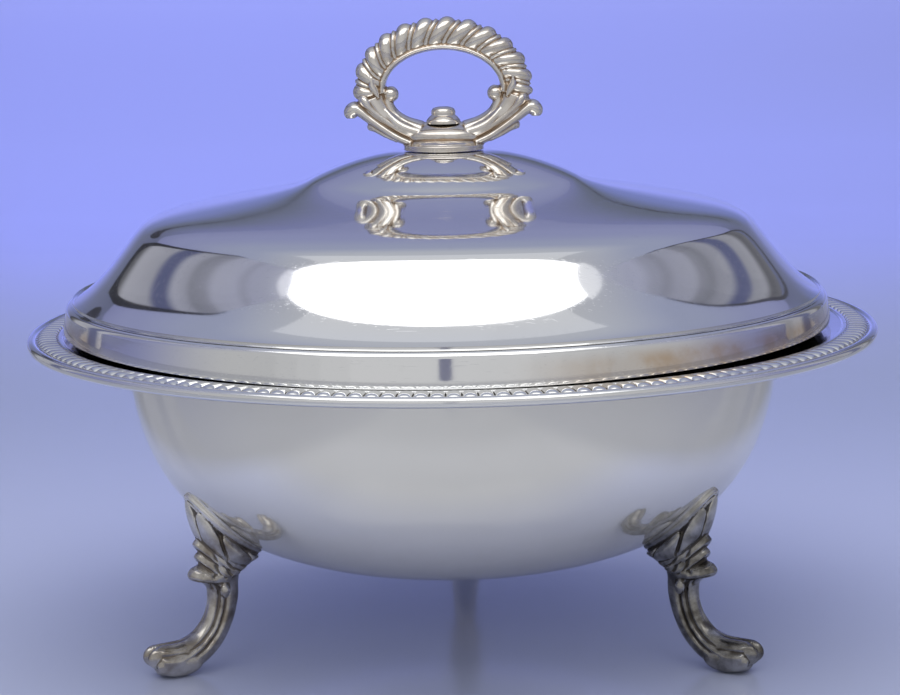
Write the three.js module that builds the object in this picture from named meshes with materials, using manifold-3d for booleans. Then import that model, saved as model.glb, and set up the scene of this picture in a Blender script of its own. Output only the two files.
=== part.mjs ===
// A covered vegetable dish in silver plate, in millimetres, standing on the table at z = 0.
// A spun bowl with a wide flange stands on three cast cabriole legs. A gadroon strip lies in a
// channel near the flange's rolled edge. The spun double-domed lid rests loosely on the flange
// inside that strip, and its cast loop handle is held by one bolt with a washer and a nut.
import * as THREE from 'three';
import { mergeVertices } from 'three/addons/utils/BufferGeometryUtils.js';
import Module from 'manifold-3d';

const wasm = await Module();
wasm.setup();

// Sheet and fits
const sheet = 1.2;            // thickness of the spun sheet
const seam = 0.3;             // gap left where two pieces meet
const overrun = 1;            // how far a cutter runs past what it cuts

// Bowl and flange
const rimRadius = 146.2;      // outermost edge of the rolled rim
const rimHeight = 108.7;      // middle of the rolled rim above the table
const rollRadius = 1.75;      // round bead of the rolled rim
const flangeWidth = 33.2;     // from the rim's edge in to the outside of the bowl's wall
const mouthDepth = 3.2;       // where the wall meets the flange's bend, below the rim's middle
const bowlDepth = 82;         // underside of the bowl below the rim's middle
const landRise = 1.8;         // narrow flat land round the lid's seat, above the rim's middle
const landWidth = 1.7;
const seatDepth = 0.5;        // how much lower than the land the lid's seat lies
const channelWidth = 7.1;     // seat of the gadroon strip, measured inward from the rolled rim
const channelDepth = 1.3;     // its depth below the land

// Gadroon strip
const stripHeight = 1.5;      // crest of a lobe above the strip's underside
const stripFall = 0.6;        // how much lower the outer side of a crest lies
const lobeGroove = 0.6;       // depth of the valley between two lobes
const lobeCount = 182;

// Lid
const lidGap = 1.9;           // between the lid's upright band and the land round its seat
const lidShift = 1.8;         // how far left of the bowl's axis the loose lid lies
const bandHeight = 7.8;       // straight part of the band
const bandRounding = 2.5;     // round edge between the band and the dome's flare
const domeHeight = 48.8;      // crown above the foot of the dome's flare
const lipWidth = 5;           // turned-in lip under the band
const lipFall = 0.9;          // how much lower the lip's inner edge lies, where it rests

// Handle
const collarRadius = 13.8;    // round foot of the handle on the lid's crown
const collarHeight = 3.7;
const bellyLength = 15.6;     // half length of the boat-shaped base
const bellyWidth = 11.6;      // half width of the boat-shaped base
const bellyHeight = 4.4;      // half height of the boat-shaped base
const loopWidth = 25.6;       // half width of the loop's middle line
const loopRise = 18.9;        // middle line of the loop's top above its widest place
const loopDrop = 15.4;        // middle line of the loop's bottom below its widest place
const loopMiddle = 21.4;      // the loop's widest place above the lid's crown
const ropeThickness = 5.4;    // half thickness of the lobed arch, seen from the front
const armThickness = 3.1;     // half thickness of the smooth arms below
const ropeDepth = 4.7;        // half depth of the arch from front to back
const ropeLobes = 13;
const ropeLean = 2.6;         // how far the outer end of a lobe leans along the arch
const archTurn = Math.PI * 0.58;  // how far the lobed arch reaches down on each side
const ropeGroove = 1.5;       // depth of the valleys between the arch's lobes
const scrollRadius = 2.8;     // balls that end the arch's inner rim
const leafThickness = 2.8;    // half thickness of the leaf that curls out of each arm
const leafBudRadius = 1.9;    // small leaf buds under them

// Handle bolt, washer and nut
const boltRadius = 2;
const buttonRadius = 6;       // lower step of the bolt's button head
const buttonHeight = 2.4;
const buttonRecess = 0.6;     // how deep the button sits in the top of the belly
const knobRadius = 4.1;       // upper step of the button head
const knobHeight = 3.4;
const washerRadius = 7;
const washerThickness = 1;
const nutRadius = 4.6;        // over the nut's corners
const nutCorners = 6;
const nutThickness = 3.6;
const boltEnd = 1.4;          // bolt that stands out below the nut

// Legs
const legSpan = 61.1;         // the outward places and breadths of the leg's sections share it
const shieldHalfWidth = 8.2;  // half breadth of the shell on the bowl
const shieldThickness = 1.6;  // how far the shell's rim stands off the bowl
const petalBulge = 1.5;       // how far the petals swell between the knee and the rim
const petalGroove = 1.4;      // depth of the valleys between the petals
const petalCount = 7;
const shankGroove = 0.6;      // lengthwise grooves of the shank and between the toes

// Steps round the revolved pieces and the lofts
const bowlSteps = 48;
const lidSteps = 48;
const smallSteps = 16;
const wallSteps = 8;
const rollSteps = 6;
const domeSteps = 3;
const domeStepsInside = 2;
const lobeSteps = 3;
const legSides = 3 * petalCount;
const handleSides = 8;
const leafSides = 8;

// Shape of the bowl's wall: pull of its curve along the base and down the wall,
// as shares of the mouth radius and of the depth.
const bowlCurveShares = { base: 0.726, wallOut: 0.973, wallDown: 0.707 };

// The double dome from the crown to the flare, as four curves that share their end points.
// Each pair is a share of the lid's radius and a share of the dome's height.
const domeShares = [
  [0.1045, 1], [0.19, 1], [0.31, 0.877], [0.355, 0.808],
  [0.397, 0.743], [0.49, 0.71], [0.6, 0.66],
  [0.68, 0.623], [0.755, 0.59], [0.79, 0.515],
  [0.825, 0.44], [0.9, 0.075], [0.981, 0],
];

// Mouldings of the handle's collar from its middle up: shares of its radius and height.
const collarShares = [[1, 0.5], [0.93, 0.62], [1, 0.8], [0.9, 1]];

// The leaf that curls out of each arm, and the middle of the bud under it: shares of the loop's
// half width and of the height of its widest place above the crown.
const leafShares = [[0.78, 0.35], [1.055, 0.686], [1.23, 0.776], [1.258, 0.6]];
const leafBudShares = [0.98, 0.475];

// Where the shell lies on the bowl's curve: 0 is the middle of its underside, 1 is its mouth.
const shieldTopShare = 0.67;
const shieldFootShare = 0.41;

// Sections of a leg from the toes up the shank to the knee under the shell: the outer point, the
// inner point and the half breadth of each. Outward places count from the shell's top and are
// shares of the leg's span, as the breadths are; heights are shares of the leg's height.
const legSectionShares = [
  [0.275, 0.157, 0.264, 0.108, 0.049],
  [0.237, 0.19, 0.226, 0.036, 0.085],
  [0.159, 0.19, 0.142, -0.016, 0.101],
  [0.057, 0.196, 0.011, -0.016, 0.1],
  [-0.015, 0.234, -0.087, 0.065, 0.088],
  [-0.065, 0.298, -0.177, 0.155, 0.077],
  [-0.092, 0.373, -0.239, 0.27, 0.069],
  [-0.095, 0.442, -0.275, 0.406, 0.07],
  [-0.074, 0.491, -0.275, 0.471, 0.079],
  [-0.013, 0.517, -0.277, 0.499, 0.092],
  [0.013, 0.55, -0.288, 0.534, 0.098],
  [-0.01, 0.588, -0.304, 0.56, 0.095],
  [-0.052, 0.609, -0.321, 0.576, 0.088],
  [-0.026, 0.645, -0.34, 0.591, 0.095],
  [-0.047, 0.678, -0.36, 0.602, 0.095],
  [-0.02, 0.717, -0.38, 0.61, 0.103],
  [-0.039, 0.75, -0.396, 0.617, 0.105],
];

// Rings of the shell between the knee and its rim, as shares of the way
const shellShares = [1 / 3, 2 / 3];

// Metals
const polished = { color: 0xc9cdd2, roughness: 0.12, metalness: 1 };
const satin = { color: 0xb9bec3, roughness: 0.3, metalness: 1 };
const castSilver = { color: 0xaaa79f, roughness: 0.35, metalness: 1 };
const brass = { color: 0xb49a5c, roughness: 0.4, metalness: 1 };

// Geometry helpers

function weld(geometry) {
  const bare = geometry.clone();
  bare.deleteAttribute('normal');
  bare.deleteAttribute('uv');
  const merged = mergeVertices(bare, 1e-5);
  const corners = [];
  const index = merged.index.array;
  for (let i = 0; i < index.length; i += 3) {
    const [a, b, c] = [index[i], index[i + 1], index[i + 2]];
    if (a !== b && b !== c && c !== a) corners.push(a, b, c);
  }
  merged.setIndex(corners);
  return merged;
}

function toSolid(geometry) {
  const merged = weld(geometry);
  return new wasm.Manifold(new wasm.Mesh({
    numProp: 3,
    vertProperties: new Float32Array(merged.attributes.position.array),
    triVerts: new Uint32Array(merged.index.array),
  }));
}

function toGeometry(solid) {
  const mesh = solid.getMesh();
  const geometry = new THREE.BufferGeometry();
  geometry.setAttribute('position', new THREE.BufferAttribute(mesh.vertProperties, 3));
  geometry.setIndex(new THREE.BufferAttribute(mesh.triVerts, 1));
  geometry.computeVertexNormals();
  return geometry;
}

// A solid of revolution about z from a profile of (radius, height) points.
function revolve(profile, steps) {
  return weld(new THREE.LatheGeometry(profile, steps).rotateX(Math.PI / 2));
}

// A closed skin over a row of rings. Each ring is a list of as many points; the row closes on
// itself, or each end gets a fan to the ring's middle.
function loft(rings, closed) {
  const sides = rings[0].length;
  const points = rings.flat();
  const corners = [];
  const rows = closed ? rings.length : rings.length - 1;
  for (let i = 0; i < rows; i += 1) {
    const next = (i + 1) % rings.length;
    for (let j = 0; j < sides; j += 1) {
      const k = (j + 1) % sides;
      const [a, b] = [i * sides + j, i * sides + k];
      const [c, d] = [next * sides + j, next * sides + k];
      corners.push(a, b, d, a, d, c);
    }
  }
  if (!closed) {
    for (const [ring, start, flip] of [[rings[0], 0, true],
      [rings.at(-1), (rings.length - 1) * sides, false]]) {
      const middle = ring.reduce((sum, p) => sum.add(p), new THREE.Vector3());
      points.push(middle.divideScalar(sides));
      for (let j = 0; j < sides; j += 1) {
        const [a, b] = [start + j, start + (j + 1) % sides];
        corners.push(points.length - 1, flip ? b : a, flip ? a : b);
      }
    }
  }
  const geometry = new THREE.BufferGeometry().setFromPoints(points);
  geometry.setIndex(corners);
  return facingOut(geometry);
}

// The same skin with its faces turned outward: the volume it encloses is then positive.
function facingOut(geometry) {
  const index = Array.from(geometry.index.array);
  const corner = (i) => new THREE.Vector3().fromBufferAttribute(geometry.attributes.position, i);
  let volume = 0;
  for (let i = 0; i < index.length; i += 3) {
    const [a, b, c] = [corner(index[i]), corner(index[i + 1]), corner(index[i + 2])];
    volume += a.dot(b.cross(c));
  }
  geometry.setIndex(volume < 0 ? index.reverse() : index);
  return geometry;
}

// Points beside a line, moved by a distance to its left.
function beside(line, distance) {
  return line.map((p, i) => {
    const before = line[Math.max(i - 1, 0)];
    const after = line[Math.min(i + 1, line.length - 1)];
    const along = after.clone().sub(before).normalize();
    return new THREE.Vector2(p.x - along.y * distance, p.y + along.x * distance);
  });
}

function curvePoints(corners, steps) {
  const points = [corners[0]];
  for (let i = 0; i + 3 < corners.length; i += 3) {
    const curve = new THREE.CubicBezierCurve(...corners.slice(i, i + 4));
    points.push(...curve.getPoints(steps).slice(1));
  }
  return points;
}

function arcPoints(x, y, radius, from, to, steps) {
  return new THREE.ArcCurve(x, y, radius, from, to, to < from).getPoints(steps);
}

function named(name, geometry, finish) {
  const mesh = new THREE.Mesh(geometry, new THREE.MeshStandardMaterial(finish));
  mesh.name = name;
  return mesh;
}

// Bowl

const mouthRadius = rimRadius - flangeWidth;
const bowlCurve = new THREE.CubicBezierCurve(
  new THREE.Vector2(0, -bowlDepth),
  new THREE.Vector2(mouthRadius * bowlCurveShares.base, -bowlDepth),
  new THREE.Vector2(mouthRadius * bowlCurveShares.wallOut, -bowlDepth * bowlCurveShares.wallDown),
  new THREE.Vector2(mouthRadius, -mouthDepth),
);
const rollMiddle = rimRadius - rollRadius;
const channelOuter = rollMiddle - rollRadius;
const channelInner = channelOuter - channelWidth;
const channelFloor = landRise - channelDepth;
const landInner = channelInner - landWidth;
const seatRise = landRise - seatDepth;

function makeBowl() {
  // The underside of the sheet from the middle of the bowl out to the rolled rim
  const under = bowlCurve.getPoints(wallSteps);
  const bend = mouthDepth + seatRise - sheet;
  const bendMiddle = mouthRadius + bend;
  const wallTop = arcPoints(bendMiddle, -mouthDepth, bend, Math.PI, Math.PI / 2, 2).slice(1);
  const outside = [...under, ...wallTop,
    new THREE.Vector2(landInner, seatRise - sheet),
    new THREE.Vector2(channelInner - sheet, landRise - sheet),
    new THREE.Vector2(channelInner, channelFloor - sheet),
    new THREE.Vector2(channelOuter - sheet, channelFloor - sheet)];
  const rollStart = Math.asin((channelFloor - sheet) / rollRadius);
  const rollEnd = Math.asin(channelFloor / rollRadius);
  const roll = arcPoints(rollMiddle, 0, rollRadius, -Math.PI - rollStart,
    Math.PI - rollEnd, rollSteps);
  // Back in along the upper side, down the wall and over the bottom
  const inner = beside(under, sheet);
  inner[0].x = 0;
  const innerTop = arcPoints(bendMiddle, -mouthDepth, bend + sheet, Math.PI / 2, Math.PI, 2);
  const top = [
    new THREE.Vector2(channelInner + seam, channelFloor),
    new THREE.Vector2(channelInner, landRise),
    new THREE.Vector2(landInner + seatDepth, landRise),
    new THREE.Vector2(landInner, seatRise),
    ...innerTop.slice(0, -1)];
  const profile = [...outside, ...roll, ...top, ...inner.reverse()];
  return revolve(profile, bowlSteps).translate(0, 0, rimHeight);
}

// Gadroon strip: a ring whose upper side rises and falls once for each lobe.
function makeStrip() {
  const inner = channelInner + 2 * seam;
  const outer = channelOuter - seam;
  const width = outer - inner;
  // Places across the strip as shares of its width, with shares of the lobe's height
  const acrossShares = [[0, 0], [0.14, 0.9], [0.78, 1], [1, 0]];
  const rings = [];
  for (let i = 0; i < lobeCount * 2; i += 1) {
    const valley = i % 2 === 1 ? lobeGroove : 0;
    const angle = (i / lobeCount) * Math.PI;
    rings.push(acrossShares.map(([across, up]) => {
      const radius = inner + width * across;
      const height = (stripHeight - stripFall * across - valley) * up;
      return new THREE.Vector3(radius * Math.cos(angle), radius * Math.sin(angle), height);
    }));
  }
  return loft(rings, true).translate(0, 0, rimHeight + channelFloor + seam);
}

// Lid: the spun double dome with its band and turned-in lip.

const lidRadius = landInner - lidGap;
const lipHeight = rimHeight + seatRise + seam;
const bandFoot = lipHeight + lipFall;
const flareHeight = bandFoot + bandHeight + bandRounding;
const crownHeight = flareHeight + domeHeight;
const boltHole = boltRadius + seam;

// The lid's line from the bolt's hole over the dome and down the band to the lip's inner edge
function lidLine(steps) {
  const dome = curvePoints(domeShares.map(([out, up]) => new THREE.Vector2(
    lidRadius * out, flareHeight + domeHeight * up)), steps);
  const rounding = arcPoints(lidRadius - bandRounding, flareHeight - bandRounding, bandRounding,
    Math.PI / 2, 0, steps);
  return [new THREE.Vector2(boltHole, crownHeight), ...dome, ...rounding.slice(1),
    new THREE.Vector2(lidRadius, bandFoot + sheet / 2),
    new THREE.Vector2(lidRadius - sheet / 2, bandFoot),
    new THREE.Vector2(lidRadius - lipWidth, lipHeight)];
}

function makeLid() {
  const inside = beside(lidLine(domeStepsInside), -sheet);
  inside[0].x = boltHole;
  const profile = [...inside, ...lidLine(domeSteps).reverse()];
  profile.push(profile[0].clone());
  return revolve(profile, lidSteps);
}

// Handle: a lobed arch that runs into two smooth arms over a boat-shaped base.

const baseHeight = crownHeight + seam;
const bellyMiddle = baseHeight + collarHeight + bellyHeight / 4;
const buttonSeat = bellyMiddle + bellyHeight - buttonRecess;

function ball(x, y, z, rx, ry, rz) {
  return toSolid(new THREE.SphereGeometry(1, 12, 6).rotateX(Math.PI / 2)
    .scale(rx, ry, rz).translate(x, y, z));
}

// The loop's rings stand across its middle line. On the arch, each lobe has two full rings and one
// sunk ring, and the rings are sheared so that the lobes lean.
function makeLoop() {
  const archSteps = ropeLobes * lobeSteps;
  const armSteps = 12;
  const middle = crownHeight + loopMiddle;
  const armTurn = 2 * Math.PI - 2 * archTurn;
  const rings = [];
  for (let i = 0; i < archSteps + armSteps; i += 1) {
    const isArch = i < archSteps;
    const turn = isArch ? (2 * archTurn * i) / archSteps - archTurn
      : archTurn + (armTurn * (i - archSteps)) / armSteps;
    const fade = Math.min(1, (1 + Math.cos(turn)) * 1.1);
    const thickness = armThickness + (ropeThickness - armThickness) * fade;
    const groove = isArch && i % lobeSteps === 0 ? ropeGroove : 0;
    rings.push(Array.from({ length: handleSides }, (_, j) => {
      const side = (2 * Math.PI * j) / handleSides;
      const outward = Math.cos(side);
      const leaning = turn + (isArch ? (ropeLean / loopWidth) * outward * fade : 0);
      const drop = Math.cos(leaning) > 0 ? loopRise : loopDrop;
      const out = new THREE.Vector3(Math.sin(leaning) / loopWidth, 0, Math.cos(leaning) / drop);
      const sunk = outward > -0.8 ? groove : 0;
      return new THREE.Vector3(loopWidth * Math.sin(leaning),
        (ropeDepth - sunk / 2) * Math.sin(side), middle + drop * Math.cos(leaning))
        .addScaledVector(out.normalize(), (thickness - sunk) * outward);
    }));
  }
  return toSolid(loft(rings, true));
}

function makeLeaf(side) {
  const spine = new THREE.CubicBezierCurve(...leafShares.map(([out, up]) => new THREE.Vector2(
    side * loopWidth * out, crownHeight + loopMiddle * up)));
  const rings = [0, 0.3, 0.55, 0.8, 1].map((along) => {
    const at = spine.getPoint(along);
    const way = spine.getTangent(along);
    const thickness = leafThickness * (1 - 0.45 * along);
    return Array.from({ length: leafSides }, (_, j) => {
      const turn = (2 * Math.PI * j) / leafSides;
      const reach = thickness * Math.cos(turn);
      const depth = ropeDepth * (1 - 0.25 * along) * Math.sin(turn);
      return new THREE.Vector3(at.x + way.y * reach, depth, at.y - way.x * reach);
    });
  });
  return toSolid(loft(rings, false));
}

function makeHandle() {
  const collar = toSolid(revolve([
    new THREE.Vector2(0, baseHeight),
    new THREE.Vector2(collarRadius, baseHeight),
    ...collarShares.map(([out, up]) => new THREE.Vector2(
      collarRadius * out, baseHeight + collarHeight * up)),
    new THREE.Vector2(0, baseHeight + collarHeight),
  ], smallSteps));
  let handle = makeLoop().add(collar);
  handle = handle.add(ball(0, 0, bellyMiddle, bellyLength, bellyWidth, bellyHeight));
  const middle = crownHeight + loopMiddle;
  for (const side of [-1, 1]) {
    const scrollX = side * (loopWidth - ropeThickness - scrollRadius * 0.6);
    const [budOut, budUp] = leafBudShares;
    handle = handle
      .add(ball(scrollX, 0, middle - scrollRadius, scrollRadius, ropeDepth * 0.8, scrollRadius))
      .add(makeLeaf(side))
      .add(ball(side * loopWidth * budOut, 0, crownHeight + loopMiddle * budUp,
        leafBudRadius * 1.4, ropeDepth * 0.7, leafBudRadius));
  }
  const bore = new THREE.CylinderGeometry(boltHole, boltHole, bellyHeight * 8, smallSteps)
    .rotateX(Math.PI / 2).translate(0, 0, bellyMiddle);
  const recess = new THREE.CylinderGeometry(buttonRadius + seam, buttonRadius + seam,
    overrun + bellyHeight, smallSteps)
    .rotateX(Math.PI / 2).translate(0, 0, buttonSeat + (overrun + bellyHeight) / 2);
  return toGeometry(handle.subtract(toSolid(bore)).subtract(toSolid(recess)));
}

// Bolt with a stepped button head, and the washer and nut inside the crown.

const underCrown = crownHeight - sheet - seam;
const nutTop = underCrown - washerThickness - seam;
const boltFoot = nutTop - nutThickness - boltEnd;

function makeBolt() {
  const seat = buttonSeat + seam;
  const step = seat + buttonHeight;
  const dome = arcPoints(0, 0, 1, 0, Math.PI / 2, 4).map((p) => new THREE.Vector2(
    knobRadius * p.x, step + knobHeight * p.y));
  return revolve([
    new THREE.Vector2(0, boltFoot),
    new THREE.Vector2(boltRadius, boltFoot),
    new THREE.Vector2(boltRadius, seat),
    new THREE.Vector2(buttonRadius, seat),
    new THREE.Vector2(buttonRadius, seat + buttonHeight * 0.6),
    new THREE.Vector2(buttonRadius * 0.85, step),
    ...dome,
  ], smallSteps);
}

// A flat plate with the bolt's bore, whose outline has as many corners as asked.
function makePlate(outer, top, thickness, corners) {
  const outline = new THREE.Shape(Array.from({ length: corners }, (_, i) => new THREE.Vector2(
    outer * Math.cos((2 * Math.PI * i) / corners), outer * Math.sin((2 * Math.PI * i) / corners))));
  outline.holes.push(new THREE.Path().absarc(0, 0, boltHole, 0, 2 * Math.PI, true));
  const plate = new THREE.ExtrudeGeometry(outline, {
    depth: thickness, bevelEnabled: false, curveSegments: smallSteps,
  });
  return plate.translate(0, 0, top - thickness);
}

// Leg: one loft from the toes up the shank and the knee to the shell that lies on the bowl.

const shieldTop = bowlCurve.getPoint(shieldTopShare);
const legHeight = rimHeight + shieldTop.y;

// A place on the bowl, at a share of its curve and a distance beside the leg's middle plane,
// moved off the bowl by a distance.
function onBowl(share, aside, off) {
  const at = bowlCurve.getPoint(share);
  const along = bowlCurve.getTangent(share);
  const radius = Math.sqrt(at.x * at.x - aside * aside);
  return new THREE.Vector3(radius + along.y * off, aside, rimHeight + at.y - along.x * off);
}

// The same place, moved out of the bowl where it lies nearer to it than the seam.
function clearOfBowl(place) {
  const at = new THREE.Vector2(Math.hypot(place.x, place.y), place.z - rimHeight);
  const line = bowlCurve.getPoints(bowlSteps);
  const distances = line.map((p) => p.distanceTo(at));
  const share = distances.indexOf(Math.min(...distances)) / bowlSteps;
  const near = bowlCurve.getPoint(share);
  const along = bowlCurve.getTangent(share);
  const off = (at.x - near.x) * along.y - (at.y - near.y) * along.x;
  const push = Math.max(seam - off, 0) / at.x;
  return place.clone().add(new THREE.Vector3(
    place.x * along.y * push, place.y * along.y * push, -along.x * push * at.x));
}

function sideAngles() {
  return Array.from({ length: legSides }, (_, j) => (2 * Math.PI * j) / legSides);
}

// 0 on the crest of a petal, 1 in the valley beside it
function valleyShare(angle) {
  return (1 - Math.cos(angle * petalCount)) / 2;
}

function shieldRing(off, grow) {
  const middle = (shieldTopShare + shieldFootShare) / 2;
  const half = (shieldTopShare - shieldFootShare) / 2;
  return sideAngles().map((angle) => onBowl(middle + half * grow * Math.cos(angle),
    shieldHalfWidth * grow * Math.sin(angle), off));
}

function legSection([outX, outZ, inX, inZ, wide]) {
  const outer = new THREE.Vector3(shieldTop.x + outX * legSpan, 0, outZ * legHeight);
  const inner = new THREE.Vector3(shieldTop.x + inX * legSpan, 0, inZ * legHeight);
  const middle = outer.clone().add(inner).divideScalar(2);
  const reach = outer.clone().sub(middle);
  return sideAngles().map((angle) => {
    const groove = shankGroove * valleyShare(angle);
    const p = middle.clone().addScaledVector(reach, Math.cos(angle) * (1 - groove / reach.length()));
    p.y = (wide * legSpan - groove) * Math.sin(angle);
    p.z = Math.max(p.z, 0);
    return clearOfBowl(p);
  });
}

// A ring of the shell at a share of the way from the knee to the rim, with its petals swollen
function shellRing(knee, rim, along) {
  const ring = knee.map((p, j) => p.clone().lerp(rim[j], along));
  const middle = ring.reduce((sum, p) => sum.add(p), new THREE.Vector3()).divideScalar(ring.length);
  const swell = Math.sin(Math.PI * along);
  return ring.map((p, j) => {
    const valley = valleyShare(sideAngles()[j]);
    const outward = p.clone().sub(middle).normalize();
    return clearOfBowl(p.addScaledVector(outward, (petalBulge - petalGroove * valley) * swell));
  });
}

function makeLeg() {
  const sections = legSectionShares.map(legSection);
  const rim = shieldRing(shieldThickness, 1);
  const shell = shellShares.map((along) => shellRing(sections.at(-1), rim, along));
  const underside = [1, 2 / 3, 1 / 3].map((grow) => shieldRing(seam, grow));
  return loft([...sections, ...shell, rim, ...underside], false);
}

// The dish, with the legs at equal angles and the first one at the back

const dish = new THREE.Group();
dish.add(named('bowl', makeBowl(), satin));
dish.add(named('gadroon_border', makeStrip(), castSilver));
const legShape = makeLeg();
['leg_back', 'leg_left', 'leg_right'].forEach((name, i) => {
  const leg = named(name, legShape.clone(), castSilver);
  leg.rotation.z = Math.PI / 2 + (2 * Math.PI * i) / 3;
  dish.add(leg);
});

const lid = new THREE.Group();
lid.position.x = -lidShift;
lid.add(named('lid', makeLid(), polished));
lid.add(named('handle', makeHandle(), castSilver));
lid.add(named('handle_bolt', makeBolt(), castSilver));
lid.add(named('washer', makePlate(washerRadius, underCrown, washerThickness, smallSteps), brass));
lid.add(named('nut', makePlate(nutRadius, nutTop, nutThickness, nutCorners), brass));

const coveredDish = new THREE.Group();
coveredDish.add(dish, lid);

export default coveredDish;
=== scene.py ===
import math

import bpy
import numpy as np
from mathutils import Matrix, Vector


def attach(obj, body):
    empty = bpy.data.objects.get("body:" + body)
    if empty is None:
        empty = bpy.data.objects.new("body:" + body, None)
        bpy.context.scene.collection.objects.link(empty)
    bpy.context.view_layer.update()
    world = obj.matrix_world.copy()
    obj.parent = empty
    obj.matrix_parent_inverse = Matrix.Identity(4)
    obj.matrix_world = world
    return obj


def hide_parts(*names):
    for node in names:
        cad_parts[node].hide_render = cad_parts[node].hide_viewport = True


bl_info = {
    "name": "Covered vegetable dish",
    "version": (1, 0, 0),
    "blender": (4, 5, 0),
    "location": "View3D > Sidebar > Dish",
    "description": "Builds a silver-plated covered dish on three cast legs and its studio",
    "category": "Add Mesh",
}

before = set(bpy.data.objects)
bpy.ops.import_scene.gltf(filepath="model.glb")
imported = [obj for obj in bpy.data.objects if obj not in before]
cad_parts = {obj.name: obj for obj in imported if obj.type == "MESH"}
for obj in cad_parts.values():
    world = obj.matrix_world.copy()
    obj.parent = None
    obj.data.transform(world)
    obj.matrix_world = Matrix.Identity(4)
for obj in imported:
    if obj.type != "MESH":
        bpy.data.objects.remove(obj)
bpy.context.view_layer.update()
MM = 0.001

# Shapes given as shares of the sizes below

# Pull of the bowl's curve: along the base, then out and down the wall
BOWL_PULL = ((0.726, 1), (0.973, 0.707))

# The double dome from the crown to the flare: shares of the lid's radius and the dome's height
DOME_SHARES = (
    (0.1045, 1), (0.19, 1), (0.31, 0.877), (0.355, 0.808),
    (0.397, 0.743), (0.49, 0.71), (0.6, 0.66),
    (0.68, 0.623), (0.755, 0.59), (0.79, 0.515),
    (0.825, 0.44), (0.9, 0.075), (0.981, 0),
)

# Where a leg's shell lies on the bowl's curve: 0 is the middle of the underside, 1 the mouth
SHIELD_TOP = 0.67
SHIELD_FOOT = 0.41

# Sections of a leg from the toes to the knee: outer point, inner point and half breadth.
# Outward places and breadths are shares of the leg's span, heights of the leg's height.
LEG_SECTIONS = (
    (0.225, 0.176, 0.215, 0.02, 0.07),
    (0.205, 0.186, 0.19, 0.006, 0.096),
    (0.147, 0.188, 0.12, 0.0, 0.106),
    (0.098, 0.19, 0.062, 0.004, 0.102),
    (0.052, 0.198, 0.002, 0.022, 0.095),
    (-0.013, 0.234, -0.087, 0.068, 0.084),
    (-0.065, 0.298, -0.177, 0.155, 0.074),
    (-0.092, 0.373, -0.239, 0.27, 0.068),
    (-0.095, 0.442, -0.27, 0.38, 0.069),
    (-0.086, 0.475, -0.275, 0.44, 0.074),
    (-0.05, 0.502, -0.275, 0.481, 0.082),
    (0.0, 0.518, -0.277, 0.5, 0.09),
    (0.016, 0.546, -0.284, 0.528, 0.094),
    (-0.006, 0.583, -0.3, 0.556, 0.095),
    (-0.05, 0.603, -0.316, 0.572, 0.095),
    (-0.046, 0.622, -0.326, 0.58, 0.096),
    (-0.026, 0.643, -0.34, 0.59, 0.097),
    (-0.036, 0.663, -0.35, 0.597, 0.098),
    (-0.052, 0.678, -0.36, 0.602, 0.099),
    (-0.034, 0.698, -0.37, 0.606, 0.1),
    (-0.018, 0.718, -0.38, 0.61, 0.102),
    (-0.03, 0.735, -0.389, 0.614, 0.104),
    (-0.042, 0.75, -0.396, 0.617, 0.105),
)

# Where a leg's forms begin and end along it: 0 at the toes, 1 at the top of the knee
TOES_END = (0.1, 0.24)
SHANK_END = (0.44, 0.5)
DROOP_START = (0.48, 0.72)
VEINS_START = (0.53, 0.6)
VEINS_END = (0.93, 0.99)

# Rounded parts on both sides of a leg: place outward, aside and up, then their half sizes,
# as shares like those of the sections. Front toes, side toes, cuff beads.
LEG_BALLS = (
    (0.2, 0.036, 0.116, 0.082, 0.036, 0.064),
    (0.105, 0.07, 0.074, 0.135, 0.032, 0.066),
    (-0.165, 0.082, 0.455, 0.028, 0.026, 0.042),
)

# The camera: turn in degrees; millimetres away from the dish's axis, aside and up; pitch and roll in
# radians; its reach as the picture's distance over the picture's width
CAMERA_TURN = 2
CAMERA_AWAY = 900
CAMERA_ASIDE = -0.91
CAMERA_HEIGHT = 249
CAMERA_PITCH = 0.1626
CAMERA_ROLL = 0.0176
CAMERA_REACH = 2618 / 900


def length(name, description, millimetres):
    """A size that a user may change, kept in metres."""
    return bpy.props.FloatProperty(name=name, description=description,
                                   default=millimetres * MM, min=0, precision=5,
                                   unit="LENGTH", subtype="DISTANCE")


def colour(name, description, value):
    return bpy.props.FloatVectorProperty(name=name, description=description, default=value,
                                         size=3, min=0, max=1, subtype="COLOR")


def count(name, description, value):
    return bpy.props.IntProperty(name=name, description=description, default=value, min=1)


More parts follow.
